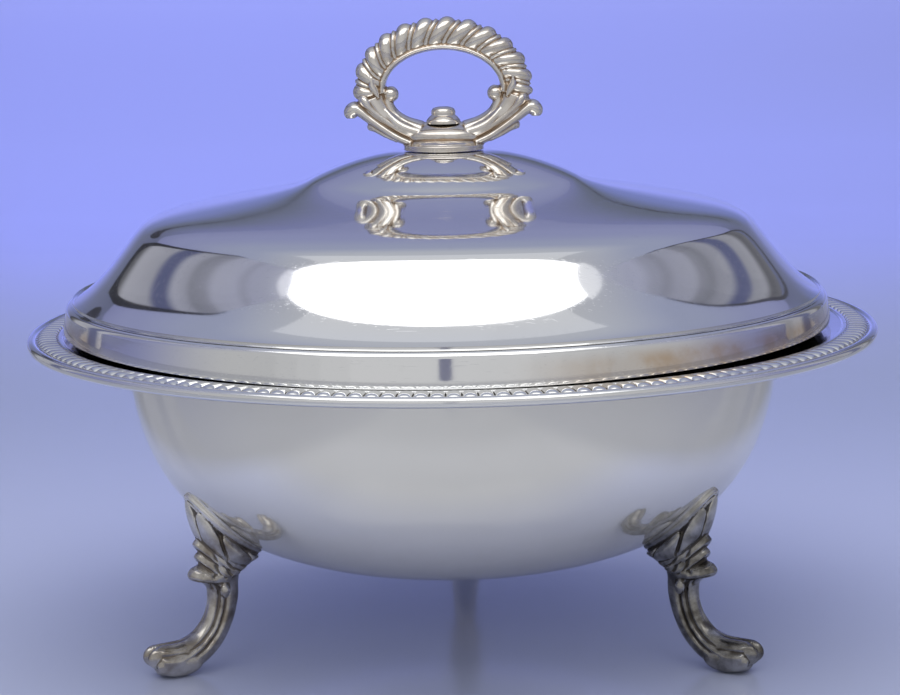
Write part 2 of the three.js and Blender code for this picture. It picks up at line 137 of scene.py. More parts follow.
class DishSizes(bpy.types.PropertyGroup):
    """Sizes of the dish"""
    sheet: length("Sheet", "Thickness of the spun sheet", 1.2)
    rim_radius: length("Rim radius", "Outermost edge of the rolled rim", 146.2)
    rim_height: length("Rim height", "Middle of the rolled rim above the table", 108.7)
    roll_radius: length("Roll radius", "Round bead of the rolled rim", 1.75)
    flange_width: length("Flange width", "From the rim's edge in to the bowl's wall", 33.2)
    mouth_depth: length("Mouth depth", "Where the wall meets the flange's bend", 3.2)
    bowl_depth: length("Bowl depth", "Underside of the bowl below the rim's middle", 82)
    land_rise: length("Land rise", "Flat land above the rim's middle", 1.8)
    land_width: length("Land width", "Flat land between the seat and the border", 1.7)
    seat_depth: length("Seat depth", "Lid's seat below the land", 0.5)
    channel_width: length("Channel width", "Seat of the gadroon strip", 7.1)
    channel_depth: length("Channel depth", "Seat of the strip below the land", 1.3)
    lobe_rise: length("Lobe rise", "Crest of a gadroon lobe above the channel's floor", 2.0)
    lobe_fall: length("Lobe fall", "How much lower a lobe's outer side lies", 0.5)
    lobe_groove: length("Lobe groove", "Depth of the valley between two lobes", 1.35)
    lobe_count: count("Lobes", "Gadroon lobes round the rim", 182)
    lid_gap: length("Lid gap", "Between the lid's band and the land", 1.9)
    lid_shift: length("Lid shift", "How far left of the bowl's axis the loose lid lies", 1.8)
    band_height: length("Band height", "Straight part of the lid's band", 7.8)
    band_rounding: length("Band rounding", "Round edge over the band", 2.5)
    band_taper: length("Band taper", "How much narrower the band is at its top", 1.0)
    foot_gap: length("Foot gap", "Between the band's foot and its seat in front", 0.25)
    foot_lift: length("Foot lift", "How much higher the worn foot stands at its sides", 2.0)
    dome_height: length("Dome height", "Crown above the foot of the dome's flare", 48.8)
    lip_width: length("Lip width", "Turned-in lip under the band", 5)
    lip_fall: length("Lip fall", "How much lower the lip's inner edge lies", 0.9)
    collar_radius: length("Collar radius", "Round foot of the handle", 13.8)
    collar_height: length("Collar height", "Height of the handle's round foot", 3.7)
    belly_length: length("Belly length", "Half length of the handle's base", 15.6)
    belly_width: length("Belly width", "Half width of the handle's base", 11.6)
    belly_height: length("Belly height", "Half height of the handle's base", 4.4)
    loop_width: length("Loop width", "Half width of the loop's middle line", 25.6)
    loop_rise: length("Loop rise", "Loop's top above its widest place", 18.9)
    loop_drop: length("Loop drop", "Loop's bottom below its widest place", 15.4)
    loop_middle: length("Loop middle", "Loop's widest place above the crown", 21.4)
    rope_thickness: length("Arch thickness", "Half thickness of the lobed arch", 5.4)
    arm_thickness: length("Arm thickness", "Half thickness of the smooth arms", 3.1)
    rope_depth: length("Arch depth", "Half depth of the arch from front to back", 4.7)
    rope_lean: length("Arch lean", "How far a lobe's outer end leans along the arch", 2.6)
    rope_groove: length("Arch groove", "Depth of the valleys between the arch's lobes", 1.7)
    rope_lobes: count("Arch lobes", "Lobes along the arch", 13)
    scroll_radius: length("Scroll radius", "Balls that end the arch's inner rim", 2.8)
    button_radius: length("Button radius", "Lower step of the bolt's head", 6)
    button_height: length("Button height", "Height of the lower step", 2.4)
    button_recess: length("Button recess", "How deep the button sits in the belly", 0.6)
    knob_height: length("Knob height", "Height of the upper step", 3.4)
    bolt_radius: length("Bolt radius", "Radius of the handle's bolt", 2)
    washer_radius: length("Washer radius", "Washer under the crown", 7)
    washer_thickness: length("Washer thickness", "Thickness of the washer", 1)
    nut_radius: length("Nut radius", "Nut over its corners", 4.6)
    nut_thickness: length("Nut thickness", "Thickness of the nut", 3.6)
    bolt_end: length("Bolt end", "Bolt that stands out below the nut", 1.4)
    leg_span: length("Leg span", "Scale of the leg's outward places and breadths", 61.1)
    shield_half_width: length("Shell half width", "Half breadth of the shell on the bowl", 8.2)
    shield_thickness: length("Shell thickness", "How far the shell's rim stands off the bowl", 1.6)
    petal_bulge: length("Petal bulge", "How far the petals swell", 1.5)
    petal_groove: length("Petal groove", "Depth of the grooves between petals", 1.3)
    petal_count: count("Petals", "Petals of a shell", 7)
    shank_groove: length("Shank groove", "Depth of the shank's lengthwise grooves", 1.0)
    cuff_droop: length("Cuff droop", "How much lower the knee's ridges lie at its sides", 4.5)


class DishColours(bpy.types.PropertyGroup):
    """Colours of the dish and its studio, as linear values"""
    polished: colour("Polished silver", "Bright plate of the lid", (0.93, 0.93, 0.92))
    satin: colour("Satin silver", "Worn plate of the bowl", (0.93, 0.915, 0.87))
    cast: colour("Cast silver", "Plate of the cast pieces", (0.93, 0.91, 0.87))
    handle_film: colour("Handle film", "Thin brown film on the handle", (0.55, 0.43, 0.31))
    handle_tarnish: colour("Handle tarnish", "Tan tarnish in the handle's hollows", (0.31, 0.21, 0.135))
    leg_film: colour("Leg film", "Brown film on the shanks", (0.20, 0.165, 0.13))
    leg_dark_film: colour("Dark leg film", "Dark film on the right leg", (0.045, 0.037, 0.029))
    tarnish: colour("Tarnish", "Brown tarnish in the recesses", (0.13, 0.08, 0.045))
    leg_tarnish: colour("Leg tarnish", "Grey-brown tarnish on the legs", (0.055, 0.042, 0.032))
    warm: colour("Warm film", "Thin warm film of tarnish on the lid's band", (0.70, 0.54, 0.38))
    brass: colour("Brass", "Washer and nut", (0.60, 0.46, 0.22))
    floor: colour("Floor", "Pale floor behind the dish", (0.265, 0.30, 0.375))
    # Painted light: the floor under the dish is paler than the floor behind it, as if the lamps lit it
    # more.
    floor_middle_painted_light: colour("Middle floor", "Pale floor under the dish", (0.40, 0.435, 0.60))
    floor_side: colour("Side floor", "Greyer floor beside the dish", (0.285, 0.295, 0.33))
    # Painted light: the floor in front of the dish, which the bowl mirrors, is paler and more neutral.
    floor_front_painted_light: colour("Front floor", "Paler floor in front of the dish", (0.33, 0.34, 0.365))
    floor_near_painted_light: colour("Near floor", "Pale floor just in front of the dish", (0.39, 0.40, 0.43))
    # Painted shade: the floor near the camera and the table's edge is darker.
    floor_painted_shade: colour("Floor edge", "Darker floor near the camera", (0.30, 0.31, 0.32))
    backdrop: colour("Backdrop", "Foot of the backdrop", (0.35, 0.395, 1.0))
    # Painted shade: the backdrop's middle and upper part are darker than its foot, where less light falls.
    backdrop_upper_painted_shade: colour("Upper backdrop", "Middle of the backdrop", (0.19, 0.23, 0.52))
    backdrop_top_painted_shade: colour("Backdrop top", "Upper part of the backdrop", (0.125, 0.145, 0.2))
    backdrop_edge: colour("Backdrop edge", "Top edge of the backdrop", (0.2, 0.22, 0.42))
    backdrop_side: colour("Backdrop side", "Darker sides of the backdrop", (0.17, 0.19, 0.31))


def sizes():
    return bpy.context.scene.dish_sizes


def colours():
    return bpy.context.scene.dish_colours


# Heights and radii that follow from the sizes

class Places:
    """Heights and radii that several pieces share, in metres."""

    def __init__(self):
        s = sizes()
        self.seam = 0.3 * MM
        self.mouth_radius = s.rim_radius - s.flange_width
        self.roll_middle = s.rim_radius - s.roll_radius
        self.channel_outer = self.roll_middle - s.roll_radius
        self.channel_inner = self.channel_outer - s.channel_width
        self.channel_floor = s.land_rise - s.channel_depth
        self.land_inner = self.channel_inner - s.land_width
        self.seat_rise = s.land_rise - s.seat_depth
        self.lid_radius = self.land_inner - s.lid_gap
        self.lip_height = s.rim_height + self.seat_rise + self.seam
        self.band_foot = self.lip_height + s.lip_fall
        self.flare = self.band_foot + s.band_height + s.band_rounding
        self.crown = self.flare + s.dome_height
        self.handle_foot = self.crown + self.seam
        self.belly_middle = self.handle_foot + s.collar_height + s.belly_height / 4
        self.button_seat = self.belly_middle + s.belly_height - s.button_recess
        self.under_crown = self.crown - s.sheet - self.seam
        self.nut_top = self.under_crown - s.washer_thickness - self.seam
        self.bolt_hole = s.bolt_radius + self.seam
        self.lid_middle = Vector((-s.lid_shift, 0, 0))
        self.loop_middle = self.crown + s.loop_middle


# Lines

def bezier(corners, steps):
    """Points on a chain of cubic curves that share their end points."""
    corners = np.array(corners, float)
    points = [corners[:1]]
    t = np.linspace(0, 1, steps + 1)[1:, None]
    for i in range(0, len(corners) - 3, 3):
        a, b, c, d = corners[i:i + 4]
        points.append((1 - t) ** 3 * a + 3 * t * (1 - t) ** 2 * b + 3 * t ** 2 * (1 - t) * c + t ** 3 * d)
    return np.concatenate(points)


def flow(rows, steps):
    """A smooth run through all the rows, with so many steps between two of them."""
    rows = np.array(rows, float)
    padded = np.vstack([2 * rows[0] - rows[1], rows, 2 * rows[-1] - rows[-2]])
    out = []
    for i in range(len(rows) - 1):
        a, b, c, d = padded[i:i + 4]
        for t in np.arange(steps) / steps:
            out.append(0.5 * (2 * b + (c - a) * t + (2 * a - 5 * b + 4 * c - d) * t ** 2
                              + (3 * b - a - 3 * c + d) * t ** 3))
    return np.vstack([out, rows[-1:]])


def arc(x, z, radius, start, end, steps):
    turn = np.linspace(start, end, steps + 1)
    return np.stack([x + radius * np.cos(turn), z + radius * np.sin(turn)], 1)


def eased(corners, steps=5):
    """A line with its corners rounded. Each corner is x, z and the length eased on each side."""
    line = []
    for i, (x, z, ease) in enumerate(corners):
        here = np.array((x, z))
        if ease == 0 or i in (0, len(corners) - 1):
            line.append(here[None])
            continue
        before = np.array(corners[i - 1][:2]) - here
        after = np.array(corners[i + 1][:2]) - here
        start = here + before / np.linalg.norm(before) * ease
        end = here + after / np.linalg.norm(after) * ease
        t = np.linspace(0, 1, steps + 1)[:, None]
        line.append((1 - t) ** 2 * start + 2 * t * (1 - t) * here + t ** 2 * end)
    return np.concatenate(line)


def beside(line, distance):
    """The line moved to its left by a distance."""
    along = np.gradient(line, axis=0)
    along /= np.linalg.norm(along, axis=1)[:, None]
    return line + distance * np.stack([-along[:, 1], along[:, 0]], 1)


def smooth_step(value, low, high):
    t = np.clip((value - low) / (high - low), 0, 1)
    return t * t * (3 - 2 * t)


# Skins

def grid_faces(rows, sides, closed_rows, start=0):
    """Quads between rows of points. Each row is a closed ring of so many sides."""
    i = np.arange(rows if closed_rows else rows - 1)[:, None]
    j = np.arange(sides)[None]
    following = (i + 1) % rows
    beside_it = (j + 1) % sides
    quads = np.stack(np.broadcast_arrays(i * sides + j, i * sides + beside_it,
                                         following * sides + beside_it, following * sides + j), -1)
    return (quads.reshape(-1, 4) + start).tolist()


def sheet_faces(rows, across):
    """Quads between rows of points that don't close."""
    return [(i * across + k, i * across + k + 1, (i + 1) * across + k + 1, (i + 1) * across + k)
            for i in range(rows - 1) for k in range(across - 1)]


def new_mesh(name, points, faces):
    mesh = bpy.data.meshes.new(name)
    mesh.from_pydata(points, [], faces)
    mesh.validate()
    mesh.update()
    return mesh


def placed(name, data):
    """A new object in the scene."""
    thing = bpy.data.objects.new(name, data)
    bpy.context.scene.collection.objects.link(thing)
    return thing


class Skin:
    """Closed skins gathered for one piece."""

    def __init__(self):
        self.points = []
        self.faces = []
        self.total = 0

    def add(self, points, faces):
        self.faces += [[i + self.total for i in face] for face in faces]
        self.points.append(np.asarray(points, float))
        self.total += len(points)

    def loft(self, rings, closed_rows=False):
        """A skin over a row of rings. An open row gets a fan at each end."""
        rings = np.asarray(rings, float)
        rows, sides = rings.shape[:2]
        faces = grid_faces(rows, sides, closed_rows)
        points = rings.reshape(-1, 3)
        if not closed_rows:
            middle = len(points)
            points = np.vstack([points, rings[0].mean(0), rings[-1].mean(0)])
            last = (rows - 1) * sides
            for j in range(sides):
                following = (j + 1) % sides
                faces.append([middle, following, j])
                faces.append([middle + 1, last + j, last + following])
        self.add(*facing_out(points, faces))

    def lathe(self, line, steps=256, middle=(0, 0), closed=True):
        """A solid of revolution. The line closes on itself, or starts and ends on the axis."""
        turn = np.linspace(0, 2 * np.pi, steps, endpoint=False)
        line = np.asarray(line, float)
        rings = np.stack([line[:, None, 0] * np.cos(turn), line[:, None, 0] * np.sin(turn),
                          np.broadcast_to(line[:, None, 1], (len(line), steps))], -1)
        rings = rings + np.array((middle[0], middle[1], 0))
        if closed:
            self.loft(rings, True)
        else:
            self.loft(rings)

    def ball(self, middle, radii, steps=32):
        down = np.linspace(0, np.pi, steps // 2 + 1)[1:-1, None]
        turn = np.linspace(0, 2 * np.pi, steps, endpoint=False)[None]
        rings = np.stack(np.broadcast_arrays(np.sin(down) * np.cos(turn), np.sin(down) * np.sin(turn),
                                             np.cos(down)), -1)
        self.loft(rings * np.array(radii) + np.array(middle))

    def strand(self, spine, thickness, depth, sides=24):
        """A strand whose spine lies in the handle's plane: rows of x and z, with its half
        thickness and half depth at each row."""
        spine = np.asarray(spine, float)
        along = np.gradient(spine, axis=0)
        along /= np.linalg.norm(along, axis=1)[:, None]
        turn = np.linspace(0, 2 * np.pi, sides, endpoint=False)
        reach = np.asarray(thickness)[:, None] * np.cos(turn)
        x = spine[:, 0, None] + along[:, 1, None] * reach
        z = spine[:, 1, None] - along[:, 0, None] * reach
        y = np.asarray(depth)[:, None] * np.sin(turn)
        self.loft(np.stack([x, y, z], -1))

    def mesh(self, name):
        return new_mesh(name, np.vstack(self.points).tolist(), self.faces)

    def build(self, name, material, body, node, sharp_degrees=50, reach=1.0):
        mesh = self.mesh(name)
        mesh.set_sharp_from_angle(angle=math.radians(sharp_degrees))
        finished(mesh, name, material, body, node, reach)


def finished(mesh, name, material, body, node, reach):
    """A piece of the dish that rides on its body and stands for the given node. Tarnish gathers
    in hollows about as wide as the reach, in millimetres."""
    mark_recesses(mesh, reach * MM)
    mesh.materials.append(material)
    piece = placed(name, mesh)
    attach(piece, body)
    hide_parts(node)


def as_casting(mesh, grain, softening):
    """One skin round all the overlapping parts of a mesh, softened as a casting is."""
    pattern = placed("pattern", mesh)
    skin = pattern.modifiers.new("skin", "REMESH")
    skin.mode = "VOXEL"
    skin.voxel_size = grain
    soft = pattern.modifiers.new("soft", "SMOOTH")
    soft.factor = 0.5
    soft.iterations = softening
    view = bpy.context.evaluated_depsgraph_get()
    casting = bpy.data.meshes.new_from_object(pattern.evaluated_get(view))
    bpy.data.objects.remove(pattern)
    casting.shade_smooth()
    return casting


def facing_out(points, faces):
    """The same skin with its faces turned outward: the volume it encloses is then positive."""
    first = np.array([face[:3] for face in faces])
    a, b, c = (points[first[:, k]] for k in range(3))
    quads = np.array([face for face in faces if len(face) == 4])
    volume = np.einsum("ij,ij->", a, np.cross(b, c))
    if len(quads):
        a, b, c = (points[quads[:, k]] for k in (0, 2, 3))
        volume += np.einsum("ij,ij->", a, np.cross(b, c))
    if volume < 0:
        faces = [face[::-1] for face in faces]
    return points, faces


def mark_recesses(mesh, reach):
    """Stores how hollow the surface is at each point, for the tarnish: 0.5 is flat."""
    def rows(items, key, width, kind=float):
        values = np.empty(len(items) * width, kind)
        items.foreach_get(key, values)
        return values.reshape(-1, width)

    full_hollow = 1.4 * MM
    total = len(mesh.vertices)
    place = rows(mesh.vertices, "co", 3)
    normal = rows(mesh.vertices, "normal", 3)
    edges = rows(mesh.edges, "vertices", 2, np.int64)
    both = np.concatenate([edges, edges[:, ::-1]])
    degree = np.maximum(np.bincount(both[:, 0], minlength=total), 1)
    spacing = np.linalg.norm(place[edges[:, 0]] - place[edges[:, 1]], axis=1).mean()
    passes = int(np.clip((reach / spacing) ** 2, 2, 60))
    around = place
    for _ in range(passes):
        around = (around + np.stack([np.bincount(both[:, 0], around[both[:, 1], k], total)
                                     for k in range(3)], 1) / degree[:, None]) / 2
    hollow = np.einsum("ij,ij->i", around - place, normal)
    value = np.clip(0.5 + 2 * hollow / full_hollow, 0, 1)
    layer = mesh.attributes.new("recess", "FLOAT", "POINT")
    layer.data.foreach_set("value", value.astype(np.float32))


# Bowl and border

def bowl_corners():
    """The ends and pulls of the bowl's curve, from the middle of its underside to the mouth."""
    s, p = sizes(), Places()
    (base, _), (wall_out, wall_down) = BOWL_PULL
    return np.array(((0, -s.bowl_depth), (p.mouth_radius * base, -s.bowl_depth),
                     (p.mouth_radius * wall_out, -s.bowl_depth * wall_down),
                     (p.mouth_radius, -s.mouth_depth)))


def bowl_line():
    """The bowl's section from the middle of its underside round the rim and back inside."""
    s, p = sizes(), Places()
    under = bezier(bowl_corners(), 72)
    bend = s.mouth_depth + p.seat_rise - s.sheet
    bend_middle = p.mouth_radius + bend
    ease = 0.25 * MM
    out = eased((
        (bend_middle, p.seat_rise - s.sheet, 0),
        (p.land_inner, p.seat_rise - s.sheet, ease),
        (p.channel_inner - s.sheet, s.land_rise - s.sheet, ease),
        (p.channel_inner, p.channel_floor - s.sheet, ease),
        (p.channel_outer - s.sheet, p.channel_floor - s.sheet, 0)))
    start = math.asin((p.channel_floor - s.sheet) / s.roll_radius)
    end = math.asin(p.channel_floor / s.roll_radius)
    roll = arc(p.roll_middle, 0, s.roll_radius, -math.pi - start, math.pi - end, 36)
    back = eased((
        (p.channel_inner + p.seam, p.channel_floor, 0),
        (p.channel_inner, s.land_rise, ease),
        (p.land_inner + s.seat_depth, s.land_rise, ease),
        (p.land_inner, p.seat_rise, ease),
        (bend_middle, p.seat_rise, 0)))
    inner = beside(under, s.sheet)
    inner[0, 0] = 0
    line = np.concatenate([
        under, arc(bend_middle, -s.mouth_depth, bend, math.pi, math.pi / 2, 12)[1:-1],
        out, roll, back,
        arc(bend_middle, -s.mouth_depth, bend + s.sheet, math.pi / 2, math.pi, 12)[1:-1],
        inner[::-1]])
    line[:, 1] += s.rim_height
    return line


def make_bowl():
    skin = Skin()
    skin.lathe(bowl_line(), steps=320, closed=False)
    skin.build("bowl_skin", satin_silver(), "dish", "bowl", sharp_degrees=60)


def make_border():
    """A ring of round-ended lobes that lie across the strip side by side."""
    s, p = sizes(), Places()
    inner = p.channel_inner + 0.1 * MM
    width = p.channel_outer + 0.15 * MM - inner
    lobe_steps = 12
    across = np.array([0, 0, 0.02, 0.06, 0.12, 0.2, 0.32, 0.46, 0.6, 0.72, 0.82, 0.9, 0.96, 1, 1])
    turn = np.arange(s.lobe_count * lobe_steps) / lobe_steps
    bump = np.sqrt(np.maximum(0, 1 - (2 * (turn % 1) - 1) ** 2 / 1.02))
    # A lobe is a little fuller towards its outer end and rounds down at both ends
    start = 1 - np.clip((0.12 - across) / 0.12, 0, 1) ** 2
    ends = start * np.sqrt(1 - np.clip((across - 0.7) / 0.3, 0, 0.999) ** 2)
    valley = s.lobe_rise - s.lobe_groove - s.lobe_fall * across
    crest = s.lobe_groove * (0.75 + 0.35 * np.sin(np.pi * np.clip(across, 0, 0.75) / 1.5)) * ends
    height = np.maximum(valley, 0.2 * MM) + crest * bump[:, None]
    height[:, 0] = 0
    height[:, -1] = 0
    angle = (turn / s.lobe_count * 2 * np.pi)[:, None]
    radius = inner + width * across[None]
    rings = np.stack([radius * np.cos(angle), radius * np.sin(angle),
                      np.broadcast_to(height, (len(turn), len(across)))], -1)
    rings[..., 2] += s.rim_height + p.channel_floor
    skin = Skin()
    skin.loft(rings, True)
    skin.build("border_lobes", border_silver(), "dish", "gadroon_border")


# Legs

def bowl_place(share):
    """Places and directions on the bowl's curve at shares of its length parameter."""
    a, b, c, d = bowl_corners()
    t = np.asarray(share)[..., None]
    at = (1 - t) ** 3 * a + 3 * t * (1 - t) ** 2 * b + 3 * t ** 2 * (1 - t) * c + t ** 3 * d
    way = 3 * ((1 - t) ** 2 * (b - a) + 2 * t * (1 - t) * (c - b) + t ** 2 * (d - c))
    return at, way / np.linalg.norm(way, axis=-1)[..., None]


def on_bowl(share, aside, off):
    """A place off the bowl at a share of its curve and beside the leg's middle plane."""
    at, way = bowl_place(share)
    radius = np.sqrt(at[..., 0] ** 2 - aside ** 2)
    return np.stack([radius + way[..., 1] * off, aside + 0 * radius,
                     sizes().rim_height + at[..., 1] - way[..., 0] * off], -1)


def clear_of_bowl(points, gap):
    """The points, moved out of the bowl where they lie nearer to it than the gap."""
    radius = np.hypot(points[:, 0], points[:, 1])
    here = np.stack([radius, points[:, 2] - sizes().rim_height], 1)
    share = np.linspace(0, 1, 600)
    line, ways = bowl_place(share)
    nearest = np.argmin(((here[:, None] - line[None]) ** 2).sum(-1), 1)
    way = ways[nearest]
    off = (here[:, 0] - line[nearest, 0]) * way[:, 1] - (here[:, 1] - line[nearest, 1]) * way[:, 0]
    push = np.maximum(gap - off, 0)
    moved = points.copy()
    moved[:, :2] += points[:, :2] / radius[:, None] * (way[:, 1] * push)[:, None]
    moved[:, 2] -= way[:, 0] * push
    return moved


def groove_lines(angle, places, breadth):
    """1 along each line at plus and minus the places round a section, 0 away from them."""
    depth = np.zeros_like(angle)
    for place in places:
        for side in (-1, 1):
            apart = np.angle(np.exp(1j * (angle - side * place)))
            depth = np.maximum(depth, np.exp(-(apart / breadth) ** 2))
    return depth


def leg_skin():
    """One leg in its own plane, from the toes up the shank and the knee to the shell."""
    s = sizes()
    sides = 168
    angle = np.linspace(0, 2 * np.pi, sides, endpoint=False)
    turned = np.degrees(np.abs(np.angle(np.exp(1j * angle))))
    top, _ = bowl_place(np.array(SHIELD_TOP))
    height = s.rim_height + top[1]
    rows = flow(LEG_SECTIONS, 8)
    along = np.linspace(0, 1, len(rows))
    rings = []
    for row, u in zip(rows, along):
        outer = np.array((top[0] + row[0] * s.leg_span, row[1] * height))
        inner = np.array((top[0] + row[2] * s.leg_span, row[3] * height))
        middle = (outer + inner) / 2
        reach = outer - middle
        size = np.linalg.norm(reach)
        toes = groove_lines(angle, (0, math.radians(66)), 0.16) * (1 - smooth_step(u, *TOES_END))
        shank = groove_lines(angle, np.radians((60, 90)), 0.13)
        shank = shank * smooth_step(u, *TOES_END) * (1 - smooth_step(u, *SHANK_END))
        # Leaf veins that fall from the knee's front towards its side
        phase = (turned - 42 + (u - 0.74) * 190) / 27
        vein = np.exp(-((phase - np.round(phase)) / 0.17) ** 2)
        vein = vein * smooth_step(turned, 38, 55) * (1 - smooth_step(turned, 125, 150))
        vein = vein * smooth_step(u, *VEINS_START) * (1 - smooth_step(u, *VEINS_END)) * 0.8
        groove = s.shank_groove * np.maximum(np.maximum(toes, shank), vein)
        across = np.cos(angle) * (1 - groove / size)
        side = (row[4] * s.leg_span - groove) * np.sin(angle)
        droop = s.cuff_droop * np.sin(angle) ** 2 * smooth_step(u, *DROOP_START)
        ring = np.stack([middle[0] + reach[0] * across, side, middle[1] + reach[1] * across - droop], 1)
        ring[:, 2] = np.maximum(ring[:, 2], 0)
        rings.append(clear_of_bowl(ring, 0.02 * MM))
    knee = rings[-1]

    def shield(grow, off):
        middle = (SHIELD_TOP + SHIELD_FOOT) / 2
        half = (SHIELD_TOP - SHIELD_FOOT) / 2
        aside = s.shield_half_width * grow * np.sin(angle)
        return on_bowl(middle + half * grow * np.cos(angle), aside, off)

    # Petals that are narrow at the knee and round at the shell's edge
    petal_end = shield(0.9, s.shield_thickness * 1.25)
    apart = np.abs(np.angle(np.exp(1j * angle * s.petal_count))) / np.pi
    for t in np.linspace(0, 1, 34)[1:]:
        ring = knee + (petal_end - knee) * t
        outward = ring - ring.mean(0)
        outward /= np.linalg.norm(outward, axis=1)[:, None]
        breadth = 1 if t < 0.62 else math.sqrt(max(0.04, 1 - ((t - 0.62) / 0.4) ** 2))
        inside = smooth_step(breadth - apart, 0.0, 0.16)
        swell = math.sin(math.pi * min(t, 0.96)) ** 0.6
        fade = min(1, 3 * t) * min(1, 7 * (1 - t))
        off = s.petal_bulge * swell * (1 - 0.3 * apart ** 2) * (0.25 + 0.75 * inside)
        ring = ring + outward * (off - s.petal_groove * (1 - inside) * fade)[:, None]
        rings.append(clear_of_bowl(ring, 0.02 * MM))
    for grow, off in ((0.915, 0.85), (0.93, 0.55), (0.945, 0.85), (0.96, 1.05), (0.975, 0.85),
                      (0.985, 0.5), (1.0, 0.8), (1.015, 0.7), (1.03, 0.4), (1.035, 0.05), (1.02, -0.15)):
        rings.append(shield(grow, s.shield_thickness * off))
    for grow in (0.6, 0.3):
        rings.append(shield(grow, -0.2 * MM))
    skin = Skin()
    skin.loft(rings)
    for ball in LEG_BALLS:
        out, aside, up, reach_out, reach_aside, reach_up = ball
        for side in (-1, 1):
            skin.ball((top[0] + out * s.leg_span, side * aside * s.leg_span, up * height),
                      (reach_out * s.leg_span, reach_aside * s.leg_span, reach_up * height), 32)
    return skin


def make_legs():
    leg = as_casting(leg_skin().mesh("leg"), grain=0.3 * MM, softening=3)
    c = colours()
    brown = clouded(0.92, low=0.042, high=0.06, above=0.0, least=0.5)
    dark = clouded(0.93, low=0.04, high=0.075, above=0.24, least=0.62)
    for node, degrees, film, share in (("leg_back", 90, c.leg_film, brown),
                                       ("leg_left", 210, c.leg_film, brown),
                                       ("leg_right", 330, c.leg_dark_film, dark)):
        mesh = leg.copy()
        mesh.transform(Matrix.Rotation(math.radians(degrees), 4, "Z"))
        finish = cast_leg_silver(node, film, share)
        finished(mesh, node + "_casting", finish, "dish", node, reach=1.0)


# Lid

def lid_line():
    s, p = sizes(), Places()
    dome = bezier([(p.lid_radius * out, p.flare + s.dome_height * up) for out, up in DOME_SHARES], 26)
    rounding = arc(p.lid_radius - s.band_taper - s.band_rounding, p.flare - s.band_rounding,
                   s.band_rounding, math.pi / 2, 0, 14)
    band_foot = s.rim_height + p.seat_rise + s.foot_gap
    ease = 0.15 * s.sheet
    foot = eased((
        (p.lid_radius - s.band_taper * 0.4, band_foot + 3.6 * s.sheet, 0),
        (p.lid_radius, band_foot, ease),
        (p.lid_radius - s.sheet, band_foot, ease),
        (p.lid_radius - s.lip_width, p.lip_height, 0)))
    return np.concatenate([[(p.bolt_hole, p.crown)], dome, rounding[1:], foot])


def make_lid():
    s, p = sizes(), Places()
    outside = lid_line()
    inside = beside(outside, -s.sheet)
    inside[0, 0] = p.bolt_hole
    line = np.concatenate([inside, outside[::-1]])
    skin = Skin()
    skin.lathe(line, steps=320, middle=p.lid_middle)
    points = skin.points[0]
    out = points - np.array(p.lid_middle)
    foot = 1 - smooth_step(points[:, 2], p.lip_height + 1.0 * MM, p.lip_height + 8.0 * MM)
    radius = np.hypot(out[:, 0], out[:, 1])
    foot *= smooth_step(radius, p.lid_radius - s.lip_width, p.lid_radius - s.sheet * 1.5)
    points[:, 2] += s.foot_lift * foot * np.sin(np.arctan2(out[:, 0], -out[:, 1])) ** 2
    skin.build("lid_dome", polished_silver(), "lid", "lid", sharp_degrees=60)


# Handle

# Strands of each arm and its leaves: shares of the loop's half width and of the height of its
# widest place above the crown, with the half thickness and half depth as shares of the arch's
INNER_STRAND = ((0.74, 0.93, 0.2, 0.4), (0.74, 0.84, 0.3, 0.56), (0.73, 0.72, 0.36, 0.64),
                (0.65, 0.56, 0.42, 0.75), (0.5, 0.43, 0.48, 0.9), (0.3, 0.35, 0.5, 1.1))
MIDDLE_STRAND = ((0.2, 0.2, 0.3, 1.2), (0.45, 0.28, 0.34, 1.15), (0.7, 0.44, 0.32, 1.08),
                 (0.86, 0.58, 0.28, 1.08), (0.96, 0.69, 0.3, 1.12), (1.03, 0.79, 0.44, 1.2),
                 (1.075, 0.88, 0.36, 1.0), (1.08, 0.93, 0.14, 0.4))
OUTER_LEAF = ((0.4, 0.12, 0.3, 1.2), (0.62, 0.23, 0.34, 1.05), (0.84, 0.4, 0.34, 0.98),
              (1.0, 0.54, 0.36, 0.92), (1.11, 0.645, 0.4, 0.88), (1.19, 0.68, 0.48, 0.84),
              (1.235, 0.61, 0.5, 0.75), (1.235, 0.53, 0.3, 0.5))
LEAFLET = ((0.85, 0.86, 0.12, 1.04), (0.9, 0.96, 0.34, 1.13), (0.94, 1.06, 0.36, 1.12),
           (0.94, 1.2, 0.1, 0.96))
LEAF_BUD = ((0.62, 0.16, 0.14, 0.8), (0.78, 0.26, 0.2, 0.75), (0.9, 0.355, 0.26, 0.65),
            (0.965, 0.39, 0.3, 0.6), (0.985, 0.33, 0.16, 0.35))

# The boat-shaped belly from its middle out into an arm: the same shares
BELLY = ((0, 0.26, 0.54, 1.3), (0.16, 0.265, 0.55, 1.3), (0.32, 0.295, 0.56, 1.3),
         (0.47, 0.35, 0.54, 1.25), (0.6, 0.43, 0.5, 1.15), (0.7, 0.54, 0.43, 1.05),
         (0.78, 0.66, 0.34, 0.9))

# Mouldings of the collar: millimetres inward from its radius, share of its height
COLLAR_LINE = ((0, 0), (0, 0.08), (0.35, 0.16), (0, 0.26), (0, 0.45), (0.35, 0.54),
               (1.0, 0.58), (0.8, 0.66), (1.6, 0.78), (3.0, 0.92), (4.5, 1))


# How far the lobed arch reaches down each side from the loop's top
ARCH_TURN = math.pi * 0.56


